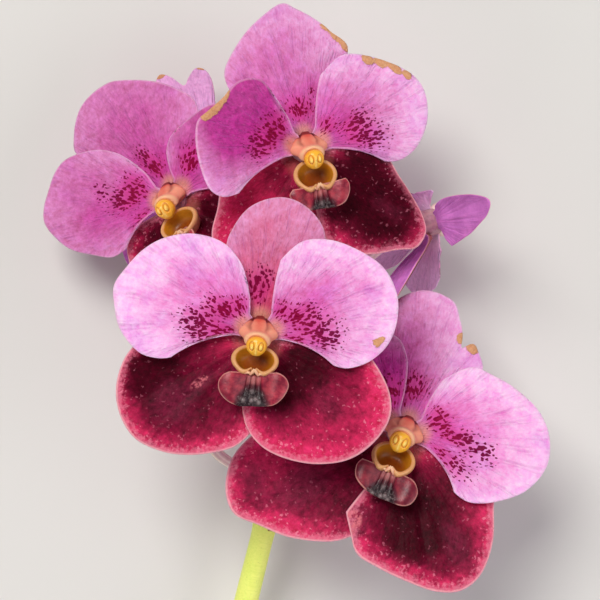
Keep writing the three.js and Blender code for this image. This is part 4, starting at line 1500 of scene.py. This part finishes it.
@dataclass(frozen=True)
class Stem:
    """The flower stem, from its cut end to its tip."""

    stations: tuple[tuple[float, float, float, float], ...] = (
        (-38, -187, 4.3, 4.2), (-28.5, -145, 12, 4.1), (-18.2, -102.7, 21, 4.1), (-12, -77.7, 26, 4.0),
        (-5.5, -51, 31, 3.5), (0, -24, 34.5, 3.1), (2.5, 0, 37, 2.7), (3.4, 14, 38.5, 2.3),
        (3.6, 19.5, 39.2, 1.7),
    )

    STEPS = 320
    SIDES = 44

    def at(self, y: float) -> tuple[Grid, float, Grid]:
        """The stem at one place.

        Args:
            y: How far along the stem it is.

        Returns:
            The centre, the radius and the direction there.
        """
        points = np.array(self.stations, float)
        i = int(np.clip(np.searchsorted(points[:, 1], y) - 1, 0, len(points) - 2))
        a, b = points[i], points[i + 1]
        here = a + (b - a) * (y - a[1]) / (b[1] - a[1])
        along = (b - a)[:3]
        return here[:3], float(here[3]), along / np.linalg.norm(along)

    def across(self, along: Grid, toward: Place) -> Grid:
        """The direction square to the stem that comes nearest to a wished one.

        Args:
            along: The stem's direction.
            toward: The wished direction.

        Returns:
            A direction of length one.
        """
        wished = np.array(toward, float)
        wished = wished - along * wished.dot(along)
        return wished / np.linalg.norm(wished)

    def cut(self, nodes: list[float]) -> Cut:
        """The stem's mesh, with a slight swelling at each node.

        Args:
            nodes: How far along the stem each pedicel leaves it.

        Returns:
            The mesh.
        """
        points = np.array(self.stations, float)
        shares = np.linspace(0.0, 1.0, self.STEPS + 1)
        level = centripetal(points[:, :3], shares)[:, 1]
        swell = np.ones((self.STEPS + 1, self.SIDES))
        for node in nodes:
            swell += 0.1 * bell(level - node + 3, 3.2)[:, None]
        swell += 0.012 * np.sin(9 * circle(self.SIDES))[None] + 0.008 * np.sin(level / 6)[:, None]
        swell[-1] = 0.55
        swell[-2] = 0.9
        rings, along, around = swept(points, self.STEPS, self.SIDES, swell)
        end = np.zeros_like(along)
        end[0] = 1.0
        face = rings[:1] * 0.86 + rings[0].mean(0) * 0.14
        rings = np.concatenate([face, rings])
        stack = [np.concatenate([v[:1], v]) for v in (np.cos(around), along * 20, end)]
        zero = np.zeros_like(stack[0])
        made = ringed(rings, {"fan": np.stack(stack, -1), "field": np.stack([zero, zero, zero], -1)})
        made.layers["fan"][-2] = (0.0, 0.0, 1.0)
        return made

    def bract(self, y: float, toward: Place, seed: int) -> Cut:
        """A small triangular bract that clasps the stem below a pedicel.

        Args:
            y: How far along the stem the pedicel leaves it.
            toward: The side on which it leaves.
            seed: Sets its curl.

        Returns:
            The mesh.
        """
        centre, radius, along = self.at(y - 4.5)
        outward = self.across(along, toward)
        aside = np.cross(along, outward)
        up = np.linspace(0.0, 1.0, 15)[:, None]
        turn = np.linspace(-1.0, 1.0, 25)
        arc = turn * (1 - up**1.3 * 0.93) * 1.15
        stand = radius + 0.35 + 1.5 * up**1.6 + 0.15 * np.cos(turn * 3 + seed)
        middle = (
            centre
            + (np.cos(arc) * stand)[..., None] * outward
            + (np.sin(arc) * stand)[..., None] * aside
            + (up * 5.2 + 0 * turn)[..., None] * along
        )
        near = np.minimum(1 - np.abs(turn) + 0 * up, 1 - up + 0 * turn) * 4
        one = np.ones_like(near)
        layers = {
            "fan": np.stack([turn + 0 * up, up * 3 + 0 * turn, 0 * one], -1),
            "field": np.stack([0.45 * one + 0.4 * up, np.exp(-near / 0.5), 0 * one], -1),
        }
        return sheet(middle, 0.2 * one, layers)


@dataclass(frozen=True)
class Leaving:
    """Where a pedicel leaves the stem, and on which side."""

    y: float
    toward: Place


@dataclass
class Bloom:
    """One bloom: where it sits, how it faces and is turned, and its own forms of the tepals."""

    name: str
    at: Place
    facing: Place
    roll: float
    size: float
    leaves: Leaving
    pedicel: tuple[Place, ...]
    tepals: dict[Part, dict] = field(default_factory=dict)
    lip: Lip = field(default_factory=Lip)
    column: Column = field(default_factory=Column)
    neck: float = 9.0
    pink_dorsal: bool = False

    HEAD_RADIUS = 4.7
    HEAD_BACK = -3.4
    HEAD_FRONT = 1.5
    RIBS = 6
    STALK_STEPS = 150
    STALK_SIDES = 48

    @property
    def seed(self) -> int:
        """A number of this bloom's own."""
        return sum(ord(c) * (i + 3) for i, c in enumerate(self.name))

    @property
    def frame(self) -> Matrix:
        """Turns the bloom's millimetres into the spray's.

        Returns:
            The matrix.
        """
        turn = Vector((0, 0, 1)).rotation_difference(Vector(self.facing).normalized())
        turn = turn @ Quaternion((0, 0, 1), math.radians(self.roll))
        place = Matrix.Translation(Vector(self.at) + SPRAY_ORIGIN)
        return place @ turn.to_matrix().to_4x4() @ Matrix.Scale(self.size, 4)

    def keep(self, piece: bpy.types.Object, node: str) -> None:
        """Fastens a piece to the frame, in place of a node.

        Args:
            piece: The new piece.
            node: The node's name without the bloom's.
        """
        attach(piece, "root")
        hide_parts(f"{self.name}_{node}")
        logger.info("%s: %d faces", piece.name, len(piece.data.polygons))

    def build(self, materials: Materials, stem: Stem) -> None:
        """Makes every piece of the bloom.

        Args:
            materials: The spray's materials.
            stem: The stem that the pedicel leaves.
        """
        skins = {Part.DORSAL: materials.petal if self.pink_dorsal else materials.dorsal}
        skins |= {Part.RIGHT_PETAL: materials.petal, Part.LEFT_PETAL: materials.petal}
        for order, part in enumerate(Part):
            form = replace(USUAL[part], **self.tepals.get(part, {}))
            made = form.cut(self.seed + 31 * order)
            skin = skins.get(part, materials.sepal)
            piece = made.place(f"{self.name}_{part.value}_blade", self.frame, skin, part.on_left)
            self.keep(piece, part.value)
        flesh = materials.pedicel if self.facing[2] < 0 else materials.column
        for body, made, skin, node, slot in (
            ("lip_cup", self.lip.cup(), materials.cup, "lip", "lip_bronze"),
            ("lip_blade", self.lip.blade(self.seed), materials.blade, "lip", "lip_bronze"),
            ("lip_callus", self.lip.callus(), materials.callus, "lip", "lip_bronze"),
            ("column_shaft", self.column.shaft(), flesh, "column", "column_peach"),
            ("cap", self.column.cap(), materials.cap, "anther_cap", "cap_gold"),
        ):
            self.keep(made.place(f"{self.name}_{body}", self.frame, skin), node)
        stalk = self._stalk(stem).place(f"{self.name}_stalk", SPRAY_FRAME, materials.pedicel)
        self.keep(stalk, "pedicel")

    def _stalk(self, stem: Stem) -> Cut:
        """The pedicel: six soft ribs that twist once, up to the round head behind the tepals.

        Args:
            stem: The stem that it leaves.

        Returns:
            The mesh, in the spray's millimetres.
        """
        local = Matrix.Translation(-SPRAY_ORIGIN) @ self.frame

        def on_axis(z: float, radius: float) -> list[float]:
            """A station on the bloom's axis."""
            return [*(local @ Vector((0, 0, z))), radius * self.size]

        centre, thick, along = stem.at(self.leaves.y)
        outward = stem.across(along, self.leaves.toward)
        stations = np.array(
            [
                [*(centre + outward * (thick - 0.2)), 1.9],
                [*(centre + outward * (thick + 3) + along), 1.6],
                *[[*place, 1.8] for place in self.pedicel],
                on_axis(-self.neck - 4, 2.3),
                on_axis(min(-self.neck + 1, self.HEAD_BACK - 3), 2.6),
                on_axis(self.HEAD_BACK - 1.6, 3.1),
                on_axis(self.HEAD_BACK, self.HEAD_RADIUS),
                on_axis(self.HEAD_FRONT - 0.5, self.HEAD_RADIUS + 0.1),
                on_axis(self.HEAD_FRONT, self.HEAD_RADIUS - 0.5),
            ]
        )
        shares = np.linspace(0.0, 1.0, self.STALK_STEPS + 1)[:, None]
        ribs = np.cos(self.RIBS * circle(self.STALK_SIDES)[None] + 3.0 * shares)
        swell = 1 + 0.085 * ribs * eased(shares, 0.0, 0.15) * eased(shares, 0.92, 0.75)
        rings, along_share, _ = swept(stations, self.STALK_STEPS, self.STALK_SIDES, swell)
        flush = 0.06 + 0.7 * eased(along_share, 0.5, 0.75)
        line = eased(-ribs, 0.55, 1.0) * 0.35 * eased(shares, 0.95, 0.8)
        return ringed(rings, {"field": np.stack([flush, line, line * 0], -1)})


REAR_PETAL = dict(
    tilt=22, bows=(-0.5, 0.5),
    reach=((-24, 24), (-13, 30.5), (0, 34), (16, 35), (31, 34), (45, 31.5), (60, 28.5), (76, 25), (92, 18)),
)
REAR_SEPAL = dict(
    reach=(
        (-101, 22), (-87, 28), (-74, 32), (-60, 35), (-48, 36), (-36, 36), (-24, 35), (-12, 32), (0, 28),
        (12, 22), (20, 17),
    ),
)
# Below, second marks on pink tepals are partly painted shade; on crimson ones, first marks are partly painted
# shade and second marks partly painted light.
BLOOMS = (
    Bloom(
        name="centre", at=(-13.4, -10.8, 78), facing=(0, 0, 1), roll=-7, size=1,
        leaves=Leaving(-64, (-0.8, 0.4, 0.5)),
        pedicel=((-22, -57, 36), (-29.5, -50, 43), (-30, -36, 53)),
        tepals={
            Part.LEFT_PETAL: dict(
                axis=13,
                reach=(
                    (-30, 25.8), (-26.5, 30.4), (-20, 35.2), (-8, 39.9), (4, 42.5), (11, 43.6), (19, 42.2),
                    (30, 40.5), (41, 37.9), (54, 33.7), (68, 27.8), (79, 20.6), (86, 14),
                ),
                first=(
                    Patch(68, 6.5, 28, 3.8), Patch(28, 10, 18, 6), Patch(2, 16, 12, 6, 0.95),
                    Patch(-16, 12, 14, 8), Patch(-26, 8, 18, 5),
                ),
            ),
            Part.RIGHT_PETAL: dict(
                second=(Patch(25, 14, 70, 14, 0.32),),
                third=(
                    Patch(-1.2, 33.7, 1.7, 0.9, 1.1), Patch(1.8, 34.9, 1.5, 1.2),
                    Patch(0.4, 32.6, 1.3, 0.8, 0.8),
                ),
            ),
            Part.LEFT_SEPAL: dict(
                reach=(
                    (-104, 27), (-91, 33), (-79, 36.9), (-68, 40.9), (-58, 44.4), (-47, 47.2), (-36, 46.8),
                    (-25, 44.2), (-13, 39.2), (-2, 32.5), (10, 26), (20, 19),
                ),
                first=(Patch(-24, 33, 14, 9), Patch(-50, 26, 30, 14, 0.7), Patch(20, 14, 30, 8, 0.6)),
                second=(Patch(-85, 33, 20, 6, 0.5), Patch(-14, 8, 22, 6, 0.45)),
                third=(Patch(-46, 30, 15, 8, 0.6), Patch(-46, 19, 5, 4, 1.5)),
            ),
            Part.RIGHT_SEPAL: dict(
                first=(Patch(-25, 13, 45, 11), Patch(-70, 16, 20, 8, 0.6)),
                second=(Patch(-14, 39, 22, 6, 0.9), Patch(-66, 33, 30, 8, 0.7), Patch(-35, 24, 14, 8, 0.3)),
                third=(Patch(-36, 27, 12, 7, 0.45),),
            ),
        },
    ),
    Bloom(
        name="upper", at=(2.3, 50, 60), facing=(0.2, 0, 1), roll=10, size=1, pink_dorsal=True,
        leaves=Leaving(17.5, (0, 1, 0.2)),
        pedicel=((2.9, 23.5, 46.8), (2, 33, 47), (0, 43, 44.5)),
        lip=Lip(
            blade_reach=(
                (-180, 9), (-170, 10.4), (-150, 9.4), (-122, 8.3), (-92, 7.3), (-60, 8.6), (-40, 9.8),
                (-20, 10), (-5, 9.8), (6, 9),
            ),
            cup_y=-11.7, squash=0.82, narrow=0.95,
        ),
        tepals={
            Part.DORSAL: dict(
                axis=95,
                first=(Patch(90, 8.5, 34, 4.5), Patch(69, 14.7, 4, 1.2, 0.9)),
                second=(Patch(97, 22, 60, 34, 0.55), Patch(128, 26, 26, 14, 0.25)),
                third=(Patch(67, 37, 4, 1.4), Patch(60, 34.8, 4.5, 1.4), Patch(53, 33, 4, 1.4)),
                reach=(
                    (47, 27), (53, 33.8), (64, 35.8), (74, 39.2), (83, 42.2), (88, 44.1), (95, 42.4),
                    (109, 38.5), (125, 34.6), (134, 32), (141, 27),
                ),
            ),
            Part.RIGHT_PETAL: dict(
                tilt=4, bows=(-1.7, 0.7),
                reach=(
                    (-26.5, 23), (-22, 27.9), (-13, 32.5), (0, 36.7), (12, 39), (22, 39.2), (34, 36.3),
                    (50, 32.5), (66, 29.2), (80, 21.7),
                ),
                first=(Patch(57, 5, 30, 4, 0.9), Patch(18, 14, 16, 6), Patch(-6, 16, 14, 8, 0.95)),
                second=(Patch(20, 12, 70, 18, 0.65),),
                third=(
                    Patch(50, 31.2, 4.5, 1.5), Patch(42, 33.4, 4.5, 1.6), Patch(34, 35.2, 4.5, 1.5),
                    Patch(27, 37, 3, 1.3),
                ),
            ),
            Part.LEFT_PETAL: dict(
                tilt=26, bows=(-1.7, 0.7),
                reach=(
                    (-29.5, 26), (-25, 31), (-17, 33.6), (-4, 33.8), (8, 34.3), (20, 34.5), (28, 31.7),
                    (38, 29.1), (54, 28), (68, 24), (75, 16),
                ),
                first=(Patch(50, 9, 34, 5), Patch(6, 12, 22, 6)),
                second=(Patch(52, 22, 34, 20, 1.2), Patch(10, 20, 40, 18, 0.95)),
                third=(Patch(40, 28.8, 6, 1.3), Patch(31, 30.6, 5, 2.2), Patch(25, 32.6, 4, 2.0)),
            ),
            Part.RIGHT_SEPAL: dict(
                tilt=0, cup=0.4,
                reach=(
                    (-98, 25), (-86, 31), (-72, 35.7), (-58, 40.3), (-51, 44.4), (-43, 43.8), (-37, 39.5),
                    (-30, 33.5), (-21, 28), (-11, 24.5), (2, 21.5), (16, 18),
                ),
                first=(Patch(-40, 16, 70, 16), Patch(-48, 32, 20, 10, 0.8)),
                second=(Patch(-30, 27, 14, 4, 0.5), Patch(-90, 26, 20, 6, 0.6)),
                third=(Patch(-45, 30, 8, 8, 0.3),),
            ),
            Part.LEFT_SEPAL: dict(
                cup=0.4,
                reach=(
                    (-101, 26), (-87, 33.4), (-74, 37.8), (-60, 41.5), (-48, 42), (-38, 41), (-29, 37),
                    (-20, 31), (-8, 27), (4, 23), (16, 18),
                ),
                first=(Patch(-40, 8, 60, 7, 0.5), Patch(-80, 22, 14, 9, 0.6)),
                second=(Patch(-28, 26, 40, 18, 1.9), Patch(-56, 34, 14, 8, 0.8)),
                third=(Patch(-52, 22, 12, 9, 0.2),),
            ),
        },
    ),
    Bloom(
        name="lower", at=(34.3, -44.6, 56), facing=(0.02, 0.2, 1), roll=-22, size=1.08, pink_dorsal=True,
        leaves=Leaving(-74, (0.9, 0.4, 0.2)),
        pedicel=((5, -65, 31), (20, -54, 36)),
        lip=Lip(
            blade_reach=(
                (-178, 9), (-165, 10.2), (-146, 10.6), (-125, 9.8), (-100, 9), (-73, 9.4), (-52, 11.4),
                (-38, 12), (-22, 11), (-10, 8.8), (-4, 6.5),
            ),
            # This lip gets painted shade.
            cup_y=-11.7, squash=0.78, narrow=0.9, painted_shade=0.5,
        ),
        tepals={
            Part.DORSAL: dict(
                first=(Patch(128, 8, 20, 4.5), Patch(95, 10, 22, 4, 0.9), Patch(106, 13, 10, 3, 0.5)),
                second=(Patch(112, 16, 36, 20, 0.6), Patch(108, 34, 22, 12, 0.3)),
                third=(Patch(79, 30.8, 3, 2.2), Patch(70, 30.2, 4.5, 1.7)),
                nicks=((75.3, 2.6),), steps=(46, 110),
                reach=(
                    (50, 25), (58, 29), (67, 31), (71.5, 32), (76.5, 31), (84, 35.6), (91, 40.7), (104, 41.8),
                    (116, 38.5), (128, 32), (136, 25),
                ),
            ),
            Part.RIGHT_PETAL: dict(
                axis=20,
                reach=(
                    (-39, 21), (-33.5, 26), (-22, 30.8), (-8, 36.4), (6, 39.7), (19, 39.5), (32, 37),
                    (46, 32.4), (60, 28.5), (74, 25.5), (88, 18),
                ),
                first=(
                    Patch(55, 7, 34, 4.5), Patch(14, 13, 12, 6), Patch(3, 20, 10, 5, 0.9),
                    Patch(-22, 13, 12, 8),
                ),
                second=(Patch(20, 6, 80, 8, 0.3),),
            ),
            Part.LEFT_PETAL: dict(
                reach=(
                    (-27.5, 23), (-23, 27.5), (-14, 32), (0, 36), (16, 37), (31, 35), (45, 32), (60, 28.5),
                    (74, 25.5), (84, 19),
                ),
                first=(Patch(62, 9, 34, 6), Patch(25, 8, 30, 6)),
                second=(Patch(55, 14, 60, 18, 1.15),),
            ),
            Part.RIGHT_SEPAL: dict(
                axis=-60,
                reach=(
                    (-113, 27.5), (-104, 31), (-95, 35.8), (-84, 37.3), (-70, 40.2), (-58, 44),
                    (-48, 45.7), (-38, 43.5), (-26, 37.7), (-12, 31), (0, 28.5), (10, 24.5), (20, 18),
                ),
                first=(Patch(-62, 18, 50, 12), Patch(-62, 30, 22, 6, 0.7)),
                second=(Patch(-14, 26, 20, 8, 0.5), Patch(-96, 32, 16, 6, 0.7)),
                third=(Patch(-42, 33, 8, 10, 0.5), Patch(-107, 29, 8, 5, 1.6)),
            ),
            Part.LEFT_SEPAL: dict(
                reach=(
                    (-103, 25), (-90, 31.5), (-80, 36.2), (-66, 42.2), (-55, 47.1), (-47, 52.2),
                    (-38, 51.9), (-28, 48), (-19, 41.5), (-10, 34.5), (0, 29), (12, 24), (22, 17),
                ),
                first=(Patch(-40, 10, 60, 10, 0.6), Patch(-85, 26, 20, 8, 0.5)),
                second=(Patch(-22, 38, 22, 10, 0.5), Patch(-60, 40, 12, 6, 0.5)),
                third=(Patch(-50, 30, 12, 12, 0.6), Patch(-36, 44, 10, 5, 0.4)),
            ),
        },
    ),
    Bloom(
        name="left", at=(-42.8, 34.2, 42.5), facing=(-0.48, 0, 1), roll=24, size=1.04, pink_dorsal=True,
        leaves=Leaving(2, (-0.9, 0.4, -0.3)),
        pedicel=((-10, 12, 34), (-20, 25, 32)),
        lip=Lip(
            blade_reach=(
                (-178, 7.5), (-171, 9.7), (-160, 11.5), (-146, 12.2), (-130, 12), (-110, 11.3), (-90, 10),
                (-70, 9), (-50, 8), (-32, 7), (-14, 6), (-3, 5), (5, 4), (9, 3.5),
            ),
            cup_y=-12.2, middle=1.6, narrow=0.94,
        ),
        tepals={
            Part.DORSAL: dict(
                axis=92,
                first=(Patch(113, 7, 16, 5), Patch(112, 14, 10, 5, 0.9), Patch(85, 8, 14, 4, 0.5)),
                second=(Patch(100, 24, 80, 50, 0.8),),
                reach=(
                    (44, 25), (54, 29.5), (76, 34.6), (97, 41.4), (106, 44.2), (117, 45.7), (126, 45),
                    (133, 43.5), (139, 40.9), (143, 32),
                ),
            ),
            Part.RIGHT_PETAL: dict(
                tilt=6,
                reach=(
                    (-31.5, 20.5), (-25.5, 24.5), (-16, 28), (0, 31), (16, 32), (31, 31), (43, 28.5),
                    (60, 21.5), (80, 17), (92, 13),
                ),
                first=(Patch(48, 9, 22, 5), Patch(35, 14, 10, 4, 0.9), Patch(72, 19, 5, 1.6)),
                second=(Patch(35, 20, 80, 30, 0.95),),
            ),
            Part.LEFT_PETAL: dict(
                axis=20,
                reach=(
                    (-30.5, 19.5), (-25, 24.5), (-13, 29.4), (-3, 35), (6, 39), (16, 42), (28, 40.6),
                    (44, 37.4), (59, 28.8), (70, 21.7), (80, 14),
                ),
                first=(
                    Patch(53, 9, 24, 5.5), Patch(22, 13, 16, 6), Patch(-20, 8, 16, 5, 0.7),
                    Patch(34, 21, 8, 2.4, 0.8),
                ),
                second=(Patch(20, 24, 80, 40, 0.75),),
            ),
            Part.RIGHT_SEPAL: dict(
                reach=(
                    (-101, 26), (-87, 33), (-74, 36), (-60, 35), (-48, 33), (-36, 31), (-24, 29),
                    (-12, 27), (0, 24), (14, 19),
                ),
            ),
            Part.LEFT_SEPAL: dict(
                reach=(
                    (-104, 26), (-92, 33), (-80, 37), (-68, 38), (-56, 37.5), (-44, 33), (-32, 27),
                    (-20, 22.5), (-8, 20), (6, 16),
                ),
            ),
        },
    ),
    Bloom(
        name="rear_right", at=(45.4, 26.8, 34), facing=(0.846, 0.282, -0.451), roll=-62, size=0.95, neck=3.5,
        leaves=Leaving(-8, (1, 0.5, -0.3)),
        pedicel=((13, 4, 34), (23, 14, 38.5), (31, 20.5, 41)),
        lip=Lip(
            blade_reach=((-190, 3), (-165, 4), (-130, 4.2), (-90, 3.6), (-50, 4.2), (-15, 4), (10, 3)),
            cup_y=-9.6, squash=0.62, narrow=0.74,
        ),
        tepals={
            Part.DORSAL: dict(
                tilt=-14, curl=0,
                reach=((30, 10), (46, 20), (57, 28.5), (68, 32), (80, 31), (94, 27), (108, 18)),
            ),
            Part.RIGHT_PETAL: dict(
                axis=30, bows=(0, 0.7), tilt=0, curl=0,
                reach=(
                    (-22, 6.8), (-9, 8.2), (-1.5, 11.8), (8.5, 16.4), (18.5, 20.7), (27, 24.2), (38, 30),
                    (55, 33), (65, 27),
                ),
            ),
            Part.LEFT_PETAL: dict(
                claw_angle=35, claw_width=5, axis=88, bows=(0, 0), tilt=0, curl=0,
                reach=(
                    (-50, 10.8), (-40, 9.8), (-10, 7.2), (18, 7.3), (41, 8.4), (58, 13.5), (72, 28),
                    (89, 37.6), (108, 31), (119, 21),
                ),
            ),
            Part.RIGHT_SEPAL: dict(
                claw_angle=-20, claw_width=4, axis=4, layer=-2.3, tilt=-55, curl=0, cup=0,
                reach=((-30, 13.6), (-14, 21), (4, 24.4), (20, 19.9), (32, 11.7)),
            ),
            Part.LEFT_SEPAL: dict(
                claw_angle=-80, layer=-0.6, axis=-86, tilt=0, curl=0, cup=0,
                reach=(
                    (-146, 11.5), (-125, 13.9), (-104, 20.8), (-94, 27), (-87, 33.4), (-80, 37.2),
                    (-73, 29.5), (-64, 19.8), (-47, 11.5), (-28, 7.2),
                ),
            ),
        },
    ),
    Bloom(
        name="rear_left", at=(-31, 40, 18), facing=(0.1, 0.05, -1), roll=42, size=1,
        leaves=Leaving(9, (-0.8, 0.5, 0.4)),
        pedicel=((-8, 21, 38), (-22, 33, 39)),
        tepals={
            Part.DORSAL: dict(
                axis=88, second=(Patch(84, 34, 60, 14, 0.2),),
                third=(Patch(75, 37, 4, 1.0), Patch(100, 36, 5, 0.9)),
                reach=(
                    (44, 20), (56, 26), (66, 31.5), (74, 37.2), (80, 35.2), (86, 30.8), (90, 33),
                    (95, 35.8), (100, 35.2), (104, 32), (107, 26),
                ),
            ),
            Part.LEFT_PETAL: REAR_PETAL,
            Part.RIGHT_PETAL: REAR_PETAL,
            Part.RIGHT_SEPAL: REAR_SEPAL,
            Part.LEFT_SEPAL: REAR_SEPAL,
        },
    ),
)


# ---------------------------------------------------------------------------------- stage and light


@dataclass(frozen=True)
class AreaLight:
    """A soft square light that looks at the middle of the spray."""

    name: str
    at: Place
    side: float
    power: float
    colour: Place

    TARGET = (0.0, 0.03, 0.04)

    def build(self) -> None:
        """Makes the light."""
        data = bpy.data.lights.new(self.name, "AREA")
        data.size, data.energy, data.color = self.side, self.power, self.colour
        made = bpy.data.objects.new(self.name, data)
        made.location = self.at
        made.rotation_mode = "QUATERNION"
        made.rotation_quaternion = (Vector(self.TARGET) - Vector(self.at)).to_track_quat("-Z", "Y")
        bpy.context.scene.collection.objects.link(made)


@dataclass(frozen=True)
class Studio:
    """The pale floor, the light and the camera that looks straight down."""

    lights: tuple[AreaLight, ...] = (
        AreaLight("key", (-0.5, 0.87, 1.72), 0.9, 30.6, (1.0, 0.98, 0.95)),
        AreaLight("fill", (1.6, -0.63, 1.16), 1.8, 20.0, (0.97, 0.97, 1.0)),
        AreaLight("low", (-1.4, -1.43, 1.06), 1.8, 14.0, (1.0, 0.97, 0.96)),
    )
    surround: float = 0.17
    seen_surround: float = 0.55  # what is added to it in direct view
    floor: str = "dcdad6"
    sky: str = "eef0f4"

    FLOOR_SIZE = 6.0
    FLOOR_LEVEL = -0.0005
    FLOOR_ROUGHNESS = 0.8

    def build(self) -> None:
        """Makes the floor, the lights, the surround and the camera."""
        scene = bpy.context.scene
        bpy.ops.mesh.primitive_plane_add(size=self.FLOOR_SIZE, location=(0, 0, self.FLOOR_LEVEL))
        floor = bpy.context.object
        floor.name = "floor"
        paint = bpy.data.materials.new("floor_paint")
        paint.use_nodes = True
        shader = paint.node_tree.nodes["Principled BSDF"]
        shader.inputs["Base Color"].default_value = tint(self.floor)
        shader.inputs["Roughness"].default_value = self.FLOOR_ROUGHNESS
        floor.data.materials.append(paint)
        for light in self.lights:
            light.build()
        world = bpy.data.worlds.new("surround")
        world.use_nodes = True
        sky, background = Graph(world.node_tree), world.node_tree.nodes["Background"]
        sky.feed(background.inputs[0], self.sky)
        seen = sky.add("LightPath").outputs["Is Camera Ray"]
        sky.feed(background.inputs[1], sky.grown(seen, self.seen_surround, self.surround))
        scene.world = world
        scene.view_settings.view_transform = "Standard"
        data = bpy.data.cameras.new("camera")
        data.lens, data.sensor_width = CAMERA_LENS, SENSOR_WIDTH
        camera = bpy.data.objects.new("camera", data)
        camera.location = (SPRAY_ORIGIN + Vector((0, 0, CAMERA_HEIGHT))) * MM
        scene.collection.objects.link(camera)
        scene.camera = camera


def main() -> None:
    """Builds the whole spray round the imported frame."""
    logging.basicConfig(level=logging.INFO, format="%(name)s: %(message)s")
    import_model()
    Studio().build()
    materials = Materials()
    stem = Stem()
    stalk = stem.cut([b.leaves.y for b in BLOOMS]).place("stem_shaft", SPRAY_FRAME, materials.stem)
    bracts = [
        stem.bract(b.leaves.y, b.leaves.toward, b.seed).place(f"{b.name}_bract", SPRAY_FRAME, materials.stem)
        for b in BLOOMS
    ]
    for piece in (stalk, *bracts):
        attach(piece, "root")
        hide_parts("flower_stem")
        logger.info("%s: %d faces", piece.name, len(piece.data.polygons))
    for bloom in BLOOMS:
        bloom.build(materials, stem)


if __name__ == "__main__":
    main()
